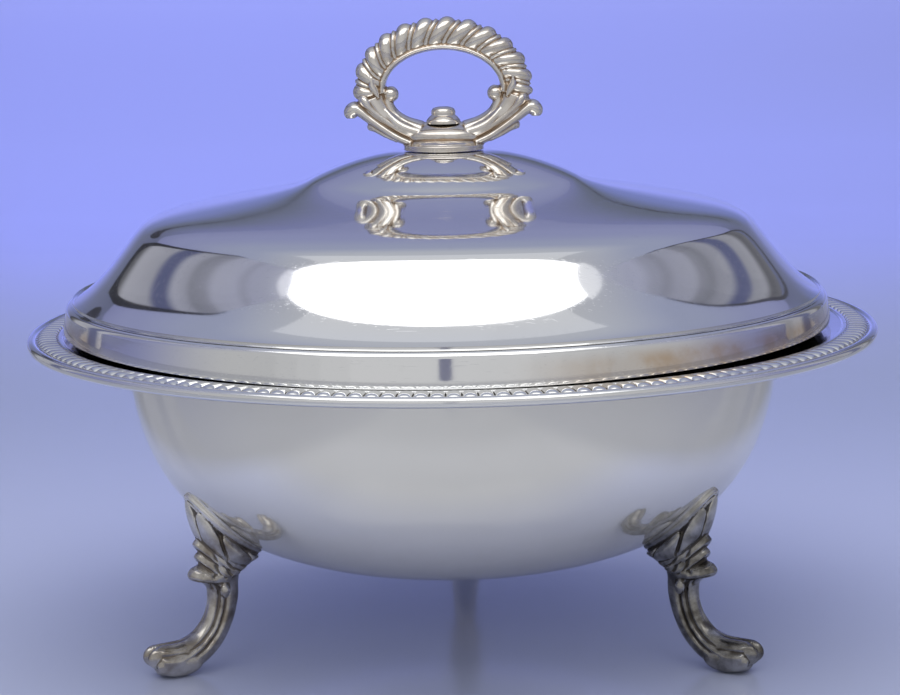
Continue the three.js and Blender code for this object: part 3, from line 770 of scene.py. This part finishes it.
def loop_place(turn):
    """Middle line of the loop: x, z and the outward direction at a turn from the top."""
    s = sizes()
    drop = np.where(np.cos(turn) > 0, s.loop_rise, s.loop_drop)
    at = np.stack([s.loop_width * np.sin(turn), drop * np.cos(turn)], -1)
    out = np.stack([np.sin(turn) / s.loop_width, np.cos(turn) / drop], -1)
    return at, out / np.linalg.norm(out, axis=-1)[..., None]


def loop_thickness(turn):
    s = sizes()
    fade = np.minimum(1, (1 + np.cos(turn)) * 1.1)
    return s.arm_thickness + (s.rope_thickness - s.arm_thickness) * fade, fade


def loop_skin(skin):
    """The lobed arch and the smooth arms under it, as one ring."""
    s, p = sizes(), Places()
    lobe_steps = 16
    sides = 44
    arch = np.linspace(-ARCH_TURN, ARCH_TURN, s.rope_lobes * lobe_steps, endpoint=False)
    arms = np.linspace(ARCH_TURN, 2 * math.pi - ARCH_TURN, 60, endpoint=False)
    phase = (np.arange(len(arch)) % lobe_steps) / lobe_steps
    fat = 0.74
    lobe = np.where(phase < fat, np.sin(np.pi * np.clip(phase / fat, 0, 1)) ** 0.55,
                    0.6 * np.sin(np.pi * np.clip((phase - fat) / (1 - fat), 0, 1)) ** 0.6)
    side = np.linspace(0, 2 * np.pi, sides, endpoint=False)
    outward = np.cos(side)
    rings = []
    for i, turn in enumerate(np.concatenate([arch, arms])):
        is_arch = i < len(arch)
        thickness, fade = loop_thickness(turn)
        near_end = min(1, 8 * (ARCH_TURN - abs(turn)) / math.pi) if is_arch else 0
        sunk = s.rope_groove * (1 - lobe[i]) * smooth_step(outward, -0.85, -0.5) if is_arch else 0 * outward
        leaning = turn + s.rope_lean / s.loop_width * outward * fade * max(near_end, 0)
        at, out = loop_place(leaning)
        reach = (thickness - sunk) * outward
        depth = (s.rope_depth - 0.8 * sunk) * np.sin(side)
        rings.append(np.stack([at[:, 0] + out[:, 0] * reach, depth, at[:, 1] + out[:, 1] * reach], 1))
    rings = np.array(rings) + np.array((-s.lid_shift, 0, p.loop_middle))
    skin.loft(rings, True)


def strand_on(skin, table, side):
    s, p = sizes(), Places()
    rows = flow(table, 9)
    spine = np.stack([side * rows[:, 0] * s.loop_width - s.lid_shift,
                      p.crown + rows[:, 1] * s.loop_middle], 1)
    thickness = rows[:, 2] * s.rope_thickness
    depth = rows[:, 3] * s.rope_depth
    skin.strand(spine, thickness, depth)


def make_handle():
    s, p = sizes(), Places()
    skin = Skin()
    loop_skin(skin)
    # Smooth inner rim of the arch between its two scroll balls
    turns = np.linspace(-ARCH_TURN, ARCH_TURN, 90)
    at, out = loop_place(turns)
    thickness, _ = loop_thickness(turns)
    spine = at - out * (thickness - 0.6 * MM)[:, None] + np.array((-s.lid_shift, p.loop_middle))
    full = np.ones(len(turns))
    skin.strand(spine, 1.3 * MM * full, 3.9 * MM * full)
    for side in (-1, 1):
        middle = side * (s.loop_width * 0.7) - s.lid_shift
        skin.ball((middle, 0, p.crown + 0.905 * s.loop_middle), (s.scroll_radius, s.rope_depth * 0.75,
                                                                 s.scroll_radius))
        for table in (INNER_STRAND, MIDDLE_STRAND, OUTER_LEAF, LEAFLET, LEAF_BUD, BELLY):
            strand_on(skin, table, side)
    skin.ball((-s.lid_shift, 0, p.belly_middle), (s.belly_length * 0.86, s.belly_width * 0.76,
                                                  s.belly_height), 64)
    collar = [(0, p.handle_foot)]
    collar += [(s.collar_radius - inward * MM, p.handle_foot + up * s.collar_height)
               for inward, up in COLLAR_LINE]
    collar.append((0, p.handle_foot + s.collar_height))
    skin.lathe(np.array(collar), steps=96, middle=p.lid_middle, closed=False)
    casting = as_casting(skin.mesh("handle"), grain=0.24 * MM, softening=3)
    finished(casting, "handle_casting", handle_silver(), "lid", "handle", reach=0.9)


# Steps of the bolt's head: shares of the button's radius and of the head's height
BUTTON_LINE = ((1, 0), (0.995, 0.1), (0.96, 0.2), (0.88, 0.31), (0.79, 0.41), (0.72, 0.47), (0.69, 0.5),
               (0.69, 0.56), (0.7, 0.63), (0.68, 0.75), (0.6, 0.88), (0.44, 0.95), (0.25, 0.99), (0, 1))


def make_bolt():
    s, p = sizes(), Places()
    seat = p.button_seat + p.seam
    head = s.button_height + s.knob_height
    foot = p.nut_top - s.nut_thickness - s.bolt_end
    line = [(0, foot), (s.bolt_radius * 0.8, foot), (s.bolt_radius, foot + 0.4 * MM),
            (s.bolt_radius, seat)]
    line += [(s.button_radius * out, seat + head * up) for out, up in flow(BUTTON_LINE, 4)]
    line[-1] = (0, line[-1][1])
    skin = Skin()
    skin.lathe(np.array(line), steps=96, middle=p.lid_middle, closed=False)
    skin.build("bolt_button", handle_silver(), "lid", "handle_bolt")


def make_fasteners():
    s, p = sizes(), Places()
    ease = 0.15 * MM
    washer = eased((
        (p.bolt_hole, p.under_crown, 0), (s.washer_radius, p.under_crown, ease),
        (s.washer_radius, p.under_crown - s.washer_thickness, ease),
        (p.bolt_hole, p.under_crown - s.washer_thickness, 0)))
    skin = Skin()
    skin.lathe(washer[::-1], steps=72, middle=p.lid_middle)
    skin.build("washer_ring", turned_brass(), "lid", "washer")
    # The nut's six flats, with its corners cut back at both faces
    turn = np.linspace(0, 2 * np.pi, 72, endpoint=False)
    flat = s.nut_radius * math.cos(math.pi / 6)
    reach = flat / np.cos((turn % (math.pi / 3)) - math.pi / 6)
    foot = p.nut_top - s.nut_thickness
    rings = []
    for radius, z in ((p.bolt_hole, foot), (flat * 0.98, foot), (None, foot + 0.5 * MM),
                      (None, p.nut_top - 0.5 * MM), (flat * 0.98, p.nut_top), (p.bolt_hole, p.nut_top)):
        out = reach if radius is None else np.full_like(turn, radius)
        rings.append(np.stack([out * np.cos(turn) - s.lid_shift, out * np.sin(turn),
                               np.full_like(turn, z)], 1))
    skin = Skin()
    skin.loft(rings, True)
    skin.build("nut_flats", turned_brass(), "lid", "nut", sharp_degrees=25)


# Finishes

def new_finish(name):
    material = bpy.data.materials.new(name)
    material.use_nodes = True
    tree = material.node_tree
    return material, tree, tree.nodes["Principled BSDF"]


def feed(tree, socket, value):
    if isinstance(value, bpy.types.NodeSocket):
        tree.links.new(value, socket)
    elif isinstance(value, (tuple, list)) and socket.type == "RGBA" and len(value) == 3:
        socket.default_value = (*value, 1)
    else:
        socket.default_value = value


def add(tree, kind, *values, output=0, **settings):
    """A new node with its first inputs fed in order. Returns one of its outputs."""
    node = tree.nodes.new(kind)
    for key, value in settings.items():
        setattr(node, key, value)
    for socket, value in zip(node.inputs, values):
        if value is not None:
            feed(tree, socket, value)
    return node.outputs[output]


def maths(tree, operation, *values):
    return add(tree, "ShaderNodeMath", *values, operation=operation)


def plus(tree, first, second):
    return maths(tree, "ADD", first, second)


def times(tree, first, second):
    return maths(tree, "MULTIPLY", first, second)


def most(tree, first, second):
    return maths(tree, "MAXIMUM", first, second)


def axes(tree, place):
    """The x, y and z of a place."""
    node = tree.nodes.new("ShaderNodeSeparateXYZ")
    feed(tree, node.inputs[0], place)
    return node.outputs


def between(tree, value, low, high, to_low=0.0, to_high=1.0):
    """A smooth step of a value from one range to another."""
    return add(tree, "ShaderNodeMapRange", value, low, high, to_low, to_high,
               interpolation_type="SMOOTHSTEP")


def blend(tree, share, first, second):
    node = tree.nodes.new("ShaderNodeMix")
    node.data_type = "RGBA"
    feed(tree, node.inputs[0], share)
    feed(tree, node.inputs[6], first)
    feed(tree, node.inputs[7], second)
    return node.outputs[2]


def noise(tree, vector, scale, detail=3.0, roughness=0.55):
    node = tree.nodes.new("ShaderNodeTexNoise")
    for key, value in (("Vector", vector), ("Scale", scale), ("Detail", detail), ("Roughness", roughness)):
        feed(tree, node.inputs[key], value)
    return node.outputs[0]


def place_of(tree):
    return add(tree, "ShaderNodeTexCoord", output=3)


def hairlines(tree, place, turn, spread, fineness, coverage):
    """Fine straight scratches in one direction, 1 on a scratch."""
    stretched = add(tree, "ShaderNodeMapping", place, (0, 0, 0), turn, (spread, fineness, fineness))
    return between(tree, noise(tree, stretched, 1.0, 2.0, 0.5), coverage, coverage + 0.05)


def ringed(tree, place, middle_x=0.0):
    """Distance from the spinning axis, turn round it and height."""
    x, y, z = axes(tree, place)
    x = maths(tree, "SUBTRACT", x, middle_x)
    radius = maths(tree, "SQRT", plus(tree, times(tree, x, x), times(tree, y, y)))
    return radius, maths(tree, "ARCTAN2", y, x), z


def silver(name, base, tarnish, amount, gloss, scratch=0.3, waves=0.0, spun=0.0, hollows=(0.53, 0.7),
           grain=60.0, middle_x=0.0, film=None, film_share=None, shine=None):
    """Silver plate: tarnish in the hollows and in clouds, fine scratches, wear on the crests."""
    if name in bpy.data.materials:
        return bpy.data.materials[name]
    material, tree, shader = new_finish(name)
    place = place_of(tree)
    hollow = add(tree, "ShaderNodeAttribute", attribute_name="recess", output=2)
    cloud = noise(tree, place, grain, 6.0, 0.6)
    fine = noise(tree, place, grain * 6, 5.0, 0.65)
    uneven = times(tree, maths(tree, "SUBTRACT", fine, 0.5), 0.12)
    deep = between(tree, plus(tree, hollow, uneven), *hollows)
    patches = between(tree, cloud, 0.45, 0.75, 0.0, 0.45)
    specks = between(tree, fine, 0.62, 0.74, 0.0, 0.25)
    spots = times(tree, plus(tree, patches, specks), amount)
    dirt = most(tree, times(tree, deep, min(1, amount * 2)), spots)
    dirt.node.use_clamp = True
    colour_now = blend(tree, dirt, tuple(base), tuple(tarnish))
    if film is not None:
        colour_now = blend(tree, film_share(tree, place), colour_now, tuple(film))
    feed(tree, shader.inputs["Base Color"], colour_now)
    feed(tree, shader.inputs["Metallic"], shine(tree, place) if shine else 1.0)
    smear = noise(tree, place, 25.0, 5.0, 0.6)
    rough = plus(tree, between(tree, smear, 0.3, 0.75, gloss * 0.75, gloss * 1.35), times(tree, dirt, 0.28))
    lines = most(tree, hairlines(tree, place, (0.3, 0.2, 0.5), 18, 1400, 0.66),
                 most(tree, hairlines(tree, place, (1.1, 0.7, -0.6), 22, 1700, 0.68),
                      hairlines(tree, place, (-0.5, 1.2, 1.9), 16, 1300, 0.67)))
    feed(tree, shader.inputs["Roughness"], plus(tree, rough, times(tree, lines, 0.08 * scratch)))
    height = times(tree, lines, -0.4 * scratch)
    height = plus(tree, height, times(tree, fine, 0.5 * amount))
    if spun:
        radius, angle, level = ringed(tree, place, middle_x)
        across = plus(tree, radius, level)
        rings = add(tree, "ShaderNodeCombineXYZ", times(tree, angle, 0.7), times(tree, across, 1600.0), 0.0)
        height = plus(tree, height, times(tree, noise(tree, rings, 1.0, 2.0, 0.5), spun))
    if waves:
        height = plus(tree, height, times(tree, noise(tree, place, 22.0, 1.0, 0.4), waves))
    bump = tree.nodes.new("ShaderNodeBump")
    bump.inputs["Strength"].default_value = 0.5
    bump.inputs["Distance"].default_value = 0.04 * MM
    feed(tree, bump.inputs["Height"], height)
    tree.links.new(bump.outputs[0], shader.inputs["Normal"])
    return material


def warm_film(tree, place):
    """Where the lid's band has its warm film: low on the band, most on its right side."""
    foot = Places().band_foot
    _, angle, level = ringed(tree, place, -sizes().lid_shift)
    low = between(tree, level, foot + 4 * MM, foot + 9.5 * MM, 1.0, 0.0)
    right = times(tree, between(tree, angle, -1.45, -0.95), between(tree, angle, -0.3, -0.1, 1.0, 0.2))
    left = between(tree, angle, -2.75, -2.35, 1.0, 0.0)
    patch = between(tree, noise(tree, place, 60.0, 4.0, 0.6), 0.35, 0.65, 0.45, 1.0)
    return times(tree, low, times(tree, most(tree, right, left), patch))


def clouded(amount, low=1.0, high=2.0, above=0.0, least=0.5):
    """A film that is thickest below a height, broken up by small clouds."""
    def share(tree, place):
        below = between(tree, axes(tree, place)[2], low, high, 1.0, above)
        clouds = between(tree, noise(tree, place, 150.0, 5.0, 0.6), 0.32, 0.68, least, 1.0)
        return times(tree, times(tree, below, clouds), amount)
    return share


def above_flange(below, above):
    """A value that changes from the bowl to the flange round it."""
    def share(tree, place):
        height = sizes().rim_height
        return between(tree, axes(tree, place)[2], height - 5 * MM, height - 1 * MM, below, above)
    return share


def polished_silver():
    c = colours()
    return silver("polished silver plate", c.polished, c.tarnish, 0.12, 0.06, scratch=0.35, waves=0.35,
                  spun=0.12, hollows=(0.75, 1.0), grain=18.0, middle_x=-sizes().lid_shift,
                  film=c.warm, film_share=warm_film)


def satin_silver():
    c = colours()
    return silver("worn satin silver plate", c.satin, c.tarnish, 0.1, 0.07, scratch=0.9, waves=0.2,
                  spun=0.3, hollows=(0.6, 0.9), grain=14.0, shine=above_flange(0.75, 1.0),
                  film=c.polished, film_share=above_flange(0.0, 1.0))


def border_silver():
    c = colours()
    return silver("gadroon silver plate", c.polished, c.leg_tarnish, 0.5, 0.1, hollows=(0.51, 0.66),
                  grain=40.0)


def handle_silver():
    c = colours()
    return silver("cast handle silver", c.cast, c.handle_tarnish, 0.75, 0.12, scratch=0.4, waves=0.8,
                  hollows=(0.5, 0.66), grain=90.0, film=c.handle_film, film_share=clouded(0.35))


def cast_leg_silver(node, film, share):
    c = colours()
    return silver(f"cast silver of {node}", c.cast, c.leg_tarnish, 0.42, 0.19, scratch=0.5, waves=0.8,
                  hollows=(0.5, 0.62), grain=75.0, film=film, film_share=share)


def turned_brass():
    c = colours()
    return silver("turned brass", c.brass, c.tarnish, 0.5, 0.3, scratch=0.5)


# Studio

def stepped_colour(tree, along, stops):
    """A colour that changes with a value through the given stops."""
    colour_now = tuple(stops[0][1])
    for (before, _), (after, value) in zip(stops, stops[1:]):
        colour_now = blend(tree, between(tree, along, before, after), colour_now, tuple(value))
    return colour_now


def make_backdrop():
    """A pale floor that sweeps up into a backdrop behind the dish, with painted light and shade on it."""
    line = eased(((-2.6, 0, 0), (2.1, 0, 1.0), (2.1, 1.1, 0)), 24)
    points = [(x, y, z) for y, z in line for x in (-3.4, 3.4)]
    mesh = new_mesh("floor_sweep", points, sheet_faces(len(line), 2))
    mesh.shade_smooth()
    material, tree, shader = new_finish("pale floor")
    c = colours()
    place = place_of(tree)
    x, y, z = axes(tree, place)
    # Along the floor: painted light under and in front of the dish, painted shade near the camera.
    cover = stepped_colour(tree, y, (
        (-0.85, c.floor_painted_shade), (-0.5, c.floor_front_painted_light), (-0.3, c.floor_front_painted_light), (-0.17, c.floor_near_painted_light),
        (-0.08, c.floor_middle_painted_light), (0.1, c.floor_middle_painted_light), (0.5, c.floor), (1.3, c.backdrop)))
    right = times(tree, between(tree, x, -0.3, 1.3, 0.0, 0.45), between(tree, y, 0.2, 0.6))
    cover = blend(tree, right, cover, tuple(c.floor))
    # Painted shade: the backdrop darkens upward from its pale foot.
    wall = stepped_colour(tree, z, (
        (0.3, c.backdrop), (0.55, c.backdrop_upper_painted_shade), (0.76, c.backdrop_top_painted_shade), (1.1, c.backdrop_edge)))
    cover = blend(tree, between(tree, z, 0.22, 0.36), cover, wall)
    aside = maths(tree, "ABSOLUTE", x)
    wall_side = times(tree, between(tree, aside, 0.45, 1.2), between(tree, y, 1.0, 1.8))
    cover = blend(tree, wall_side, cover, tuple(c.backdrop_side))
    slant = maths(tree, "DIVIDE", aside, most(tree, plus(tree, y, 0.9), 0.2))
    beside_dish = times(tree, between(tree, y, 0.9, 1.6, 1.0, 0.0), between(tree, slant, 0.178, 0.26))
    cover = blend(tree, beside_dish, cover, tuple(c.floor_side))
    # Soft blotches take the floor a little toward the front floor's painted-light colour.
    soft = between(tree, noise(tree, place, 1.3, 2.0, 0.5), 0.3, 0.7, 0.0, 0.08)
    feed(tree, shader.inputs["Base Color"], blend(tree, soft, cover, tuple(c.floor_front_painted_light)))
    shader.inputs["Roughness"].default_value = 0.15
    shader.inputs["Specular IOR Level"].default_value = 0.45
    mesh.materials.append(material)
    placed("floor_sweep", mesh)


def soft_lamp(name, place, aim, width, depth, glow, mirrored=True):
    """A soft box with level sides whose face glows at the given level, where 1 is a white sheet."""
    lamp = bpy.data.lights.new(name, "AREA")
    lamp.shape = "RECTANGLE"
    lamp.size = width
    lamp.size_y = depth
    lamp.energy = glow * math.pi * width * depth
    thing = placed(name, lamp)
    thing.location = place
    back = (Vector(place) - Vector(aim)).normalized()
    level = Vector((0, 1, 0)).cross(back).normalized()
    thing.rotation_euler = Matrix((level, back.cross(level), back)).transposed().to_euler()
    thing.visible_camera = False
    thing.visible_glossy = mirrored


def heading(turn, rise, away):
    """The step to a place at a turn from the camera's side and a rise, both in degrees."""
    turn = math.radians(turn)
    rise = math.radians(rise)
    level = math.cos(rise)
    return Vector((math.sin(turn) * level, -math.cos(turn) * level, math.sin(rise))) * away


def cloth(name, points, across, value):
    """A cloth beside the picture, which the polished silver mirrors. Its points come in rows."""
    mesh = new_mesh(name, points, sheet_faces(len(points) // across, across))
    sheet = placed(name, mesh)
    sheet.visible_camera = False
    sheet.visible_shadow = False
    sheet.visible_diffuse = False
    material, tree, shader = new_finish(name + " cloth")
    feed(tree, shader.inputs["Base Color"], value(tree) if callable(value) else (value, value, value * 1.2))
    shader.inputs["Roughness"].default_value = 0.9
    mesh.materials.append(material)
    return mesh


def dark_ribbon(name, seen_from, away, value, path):
    """A dark ribbon along a path of turns and rises, with its half breadth, all in degrees."""
    rows = flow(path, 6)
    way = np.gradient(rows[:, :2], axis=0)
    way[:, 0] *= np.cos(np.radians(rows[:, 1]))
    way /= np.linalg.norm(way, axis=1)[:, None]
    points = []
    for (turn, rise, half), (sideways, upward) in zip(rows, way):
        for side in (-1, 1):
            off = side * half
            points.append(Vector(seen_from) + heading(turn - upward * off / math.cos(math.radians(rise)),
                                                      rise + sideways * off, away))
    cloth(name, points, 2, value)


def striped_screen(name, side, stripes, edge):
    """A pale curved screen with soft upright stripes: turns and values from back to front."""
    turns = np.linspace(stripes[0][0], stripes[-1][0], 60)
    tops = np.interp(turns, *zip(*edge))
    feet = np.interp(turns, (68, 100, 120), (47, 30, -5))
    rows = 9
    middle = Vector((side * 0.085, -0.075, 0.135))
    points = [middle + heading(side * turn, foot + (top - foot) * k / (rows - 1), 1.3)
              for turn, foot, top in zip(turns, feet, tops) for k in range(rows)]

    def striped(tree):
        turn = add(tree, "ShaderNodeAttribute", attribute_name="turn", output=2)
        return stepped_colour(tree, turn, stripes)

    mesh = cloth(name, points, rows, striped)
    layer = mesh.attributes.new("turn", "FLOAT", "POINT")
    layer.data.foreach_set("value", np.repeat(turns, rows).astype(np.float32))


def make_lamps():
    soft_lamp("top_box", (-0.05, -0.645, 1.06), (-0.05, -0.645, 0), 1.32, 0.83, 1.3)
    soft_lamp("box_edge", (-0.03, -0.06, 1.06), (-0.03, -0.06, 0), 1.0, 0.34, 0.14)
    soft_lamp("left_box_edge", (-0.77, -0.6, 1.06), (-0.72, -0.6, 0), 0.12, 0.8, 0.4)
    soft_lamp("right_box_edge", (0.7, -0.6, 1.06), (0.65, -0.6, 0), 0.18, 0.8, 0.35)
    for k, width in enumerate((2.2, 3.2, 4.2, 5.4)):
        soft_lamp(f"front_bounce_{k + 1}", (0, -2.2 - 0.05 * k, 0.75), (0, 0, 0.1), width, 1.5, 0.028)
    soft_lamp("front_fill", (0, -2.2, 0.75), (0, 0, 0.1), 3.0, 1.5, 0.44, mirrored=False)
    soft_lamp("floor_fill", (0, -0.1, 1.7), (0, -0.1, 0), 2.2, 2.2, 1.3, mirrored=False)
    soft_lamp("under_fill", (0, -0.85, 0.33), (0, -0.05, 0), 1.3, 0.35, 1.25, mirrored=False)
    soft_lamp("backdrop_fill", (0, 0.7, 1.3), (0, 2.0, 0.2), 3.0, 0.6, 1.7, mirrored=False)


def make_flags():
    def grey(value):
        return (value, value, min(1, value * 1.06))

    blue = (0.16, 0.175, 0.3)
    left_edge = ((68, 58), (83, 54.5), (90, 52.5), (100, 50), (111, 46.5), (123, 37.5), (134, 28),
                 (142, 20), (147, 14), (150, 11))
    right_edge = ((68, 57), (84, 53), (100, 49), (115, 44.5), (128, 39.5), (137, 33), (145, 25), (151, 20))
    striped_screen("left_screen", -1, (
        (149, grey(0.1)), (145.5, grey(0.14)), (141, grey(0.52)), (131, grey(0.5)), (127.5, blue),
        (124, blue), (120, grey(0.64)), (116.5, grey(0.6)), (113.5, grey(0.44)), (109.5, grey(0.5)),
        (104.5, grey(0.8)), (97.5, grey(0.85)), (94, grey(0.72)), (90.5, grey(0.85)), (80, grey(1.0)),
        (68, grey(1.0))), left_edge)
    striped_screen("right_screen", 1, (
        (149.5, grey(0.2)), (146, grey(0.16)), (142.5, grey(0.45)), (138.5, grey(0.42)), (135.8, blue),
        (132.8, blue), (128.7, grey(0.5)), (125, grey(0.48)), (122, grey(0.38)), (118.5, grey(0.45)),
        (115, grey(0.68)), (109.5, grey(0.68)), (105, grey(0.58)), (101, grey(0.68)), (94, grey(0.9)),
        (82, grey(1.0)), (68, grey(1.0))), right_edge)
    left = (-0.1, -0.06, 0.135)
    right = (0.1, -0.065, 0.134)
    dark_ribbon("left_pole", left, 1.25, 0.04, (
        (-149, -4, 0.7), (-148.5, 4, 0.8), (-148, 11, 1.0), (-145.5, 15.5, 0.9), (-142, 20.5, 1.1),
        (-134, 28.5, 0.9), (-123, 38.2, 0.7), (-112, 46.6, 0.4), (-104, 49.6, 0.1)))
    dark_ribbon("right_pole", right, 1.25, 0.09, (
        (153, -4, 0.5), (152.5, 6, 0.6), (152.3, 12, 0.6), (151, 20, 0.8), (145, 25.5, 0.7),
        (137, 33.5, 0.6), (128, 40, 0.5), (116, 45, 0.3), (106, 48, 0.1)))
    dark_ribbon("back_rail", (0, -0.04, 0.152), 1.9, 0.045, (
        (-147, 16.5, 0.8), (-150, 16.6, 2.4), (-156, 16.2, 1.5), (-161, 16, 0.5), (-166, 16, 0.26),
        (-173, 16.4, 0.2), (-180, 16.4, 0.2), (-187, 15.6, 0.2), (-194, 15.6, 0.2), (-199, 16.6, 0.1)))
    dark_ribbon("lens", (0, -0.132, 0.115), 0.9, 0.34, (
        (-0.4, 4, 0), (-0.1, 4, 4.5), (3.1, 4, 4.5), (3.5, 4, 0)))


def make_world():
    """Soft light that turns from pale violet near the backdrop to grey overhead."""
    world = bpy.data.worlds.new("studio")
    world.use_nodes = True
    tree = world.node_tree
    shader = tree.nodes["Background"]
    _, y, z = axes(tree, add(tree, "ShaderNodeTexCoord", output=0))
    overhead = stepped_colour(tree, z, (
        (0.35, (0.52, 0.56, 1.0)), (0.5, (0.62, 0.67, 1.12)), (0.75, (0.74, 0.81, 1.15)),
        (0.95, (1.1, 1.15, 1.3))))
    front = between(tree, y, -0.5, 0.3, 1.0, 0.0)
    feed(tree, shader.inputs["Color"], blend(tree, front, overhead, (1.15, 1.16, 1.2)))
    shader.inputs["Strength"].default_value = 0.4
    bpy.context.scene.world = world


def make_camera():
    """The photograph's viewpoint, turned a little to the dish's right."""
    turn = math.radians(CAMERA_TURN)
    right = Vector((math.cos(turn), math.sin(turn), 0))
    front = Vector((math.sin(turn), -math.cos(turn), 0))
    place = (front * CAMERA_AWAY + right * CAMERA_ASIDE) * MM + Vector((0, 0, CAMERA_HEIGHT * MM))
    forward = -front * math.cos(CAMERA_PITCH) - Vector((0, 0, math.sin(CAMERA_PITCH)))
    up = right.cross(forward)
    rolled_right = right * math.cos(CAMERA_ROLL) - up * math.sin(CAMERA_ROLL)
    rolled_up = right * math.sin(CAMERA_ROLL) + up * math.cos(CAMERA_ROLL)
    camera = bpy.data.cameras.new("camera")
    camera.sensor_width = 36
    camera.lens = camera.sensor_width * CAMERA_REACH
    camera.clip_end = 20
    thing = placed("camera", camera)
    matrix = Matrix((rolled_right, rolled_up, -forward)).transposed().to_4x4()
    matrix.translation = place
    thing.matrix_world = matrix
    bpy.context.scene.camera = thing


# Operators, one for each piece or group of like pieces

class DISH_OT_bowl(bpy.types.Operator):
    """Make the spun bowl with its flange and rolled rim"""
    bl_idname = "dish.bowl"
    bl_label = "Bowl"

    def execute(self, context):
        make_bowl()
        return {"FINISHED"}


class DISH_OT_border(bpy.types.Operator):
    """Make the gadroon border on the flange"""
    bl_idname = "dish.border"
    bl_label = "Gadroon border"

    def execute(self, context):
        make_border()
        return {"FINISHED"}


class DISH_OT_legs(bpy.types.Operator):
    """Make the three cast legs"""
    bl_idname = "dish.legs"
    bl_label = "Legs"

    def execute(self, context):
        make_legs()
        return {"FINISHED"}


class DISH_OT_lid(bpy.types.Operator):
    """Make the spun double-domed lid"""
    bl_idname = "dish.lid"
    bl_label = "Lid"

    def execute(self, context):
        make_lid()
        return {"FINISHED"}


class DISH_OT_handle(bpy.types.Operator):
    """Make the cast loop handle"""
    bl_idname = "dish.handle"
    bl_label = "Handle"

    def execute(self, context):
        make_handle()
        return {"FINISHED"}


class DISH_OT_fasteners(bpy.types.Operator):
    """Make the handle's bolt, washer and nut"""
    bl_idname = "dish.fasteners"
    bl_label = "Bolt, washer and nut"

    def execute(self, context):
        make_bolt()
        make_fasteners()
        return {"FINISHED"}


class DISH_OT_stage(bpy.types.Operator):
    """Make the floor, the lamps, the world and the camera"""
    bl_idname = "dish.stage"
    bl_label = "Studio"

    def execute(self, context):
        make_backdrop()
        make_lamps()
        make_flags()
        make_world()
        make_camera()
        context.scene.view_settings.view_transform = "Standard"
        return {"FINISHED"}


OPERATORS = (DISH_OT_bowl, DISH_OT_border, DISH_OT_legs, DISH_OT_lid, DISH_OT_handle,
             DISH_OT_fasteners, DISH_OT_stage)


class DISH_PT_sidebar(bpy.types.Panel):
    """Lists the dish's pieces, sizes and colours"""
    bl_idname = "DISH_PT_sidebar"
    bl_label = "Covered dish"
    bl_space_type = "VIEW_3D"
    bl_region_type = "UI"
    bl_category = "Dish"

    def draw(self, context):
        for operator in OPERATORS:
            self.layout.operator(operator.bl_idname)
        for group in (context.scene.dish_sizes, context.scene.dish_colours):
            box = self.layout.box()
            for name in type(group).__annotations__:
                box.prop(group, name)


CLASSES = (DishSizes, DishColours, *OPERATORS, DISH_PT_sidebar)


def register():
    for item in CLASSES:
        bpy.utils.register_class(item)
    bpy.types.Scene.dish_sizes = bpy.props.PointerProperty(type=DishSizes)
    bpy.types.Scene.dish_colours = bpy.props.PointerProperty(type=DishColours)


def unregister():
    del bpy.types.Scene.dish_colours
    del bpy.types.Scene.dish_sizes
    for item in reversed(CLASSES):
        bpy.utils.unregister_class(item)


def main():
    register()
    for operator in OPERATORS:
        group, name = operator.bl_idname.split(".")
        getattr(getattr(bpy.ops, group), name)()


if __name__ == "__main__":
    main()
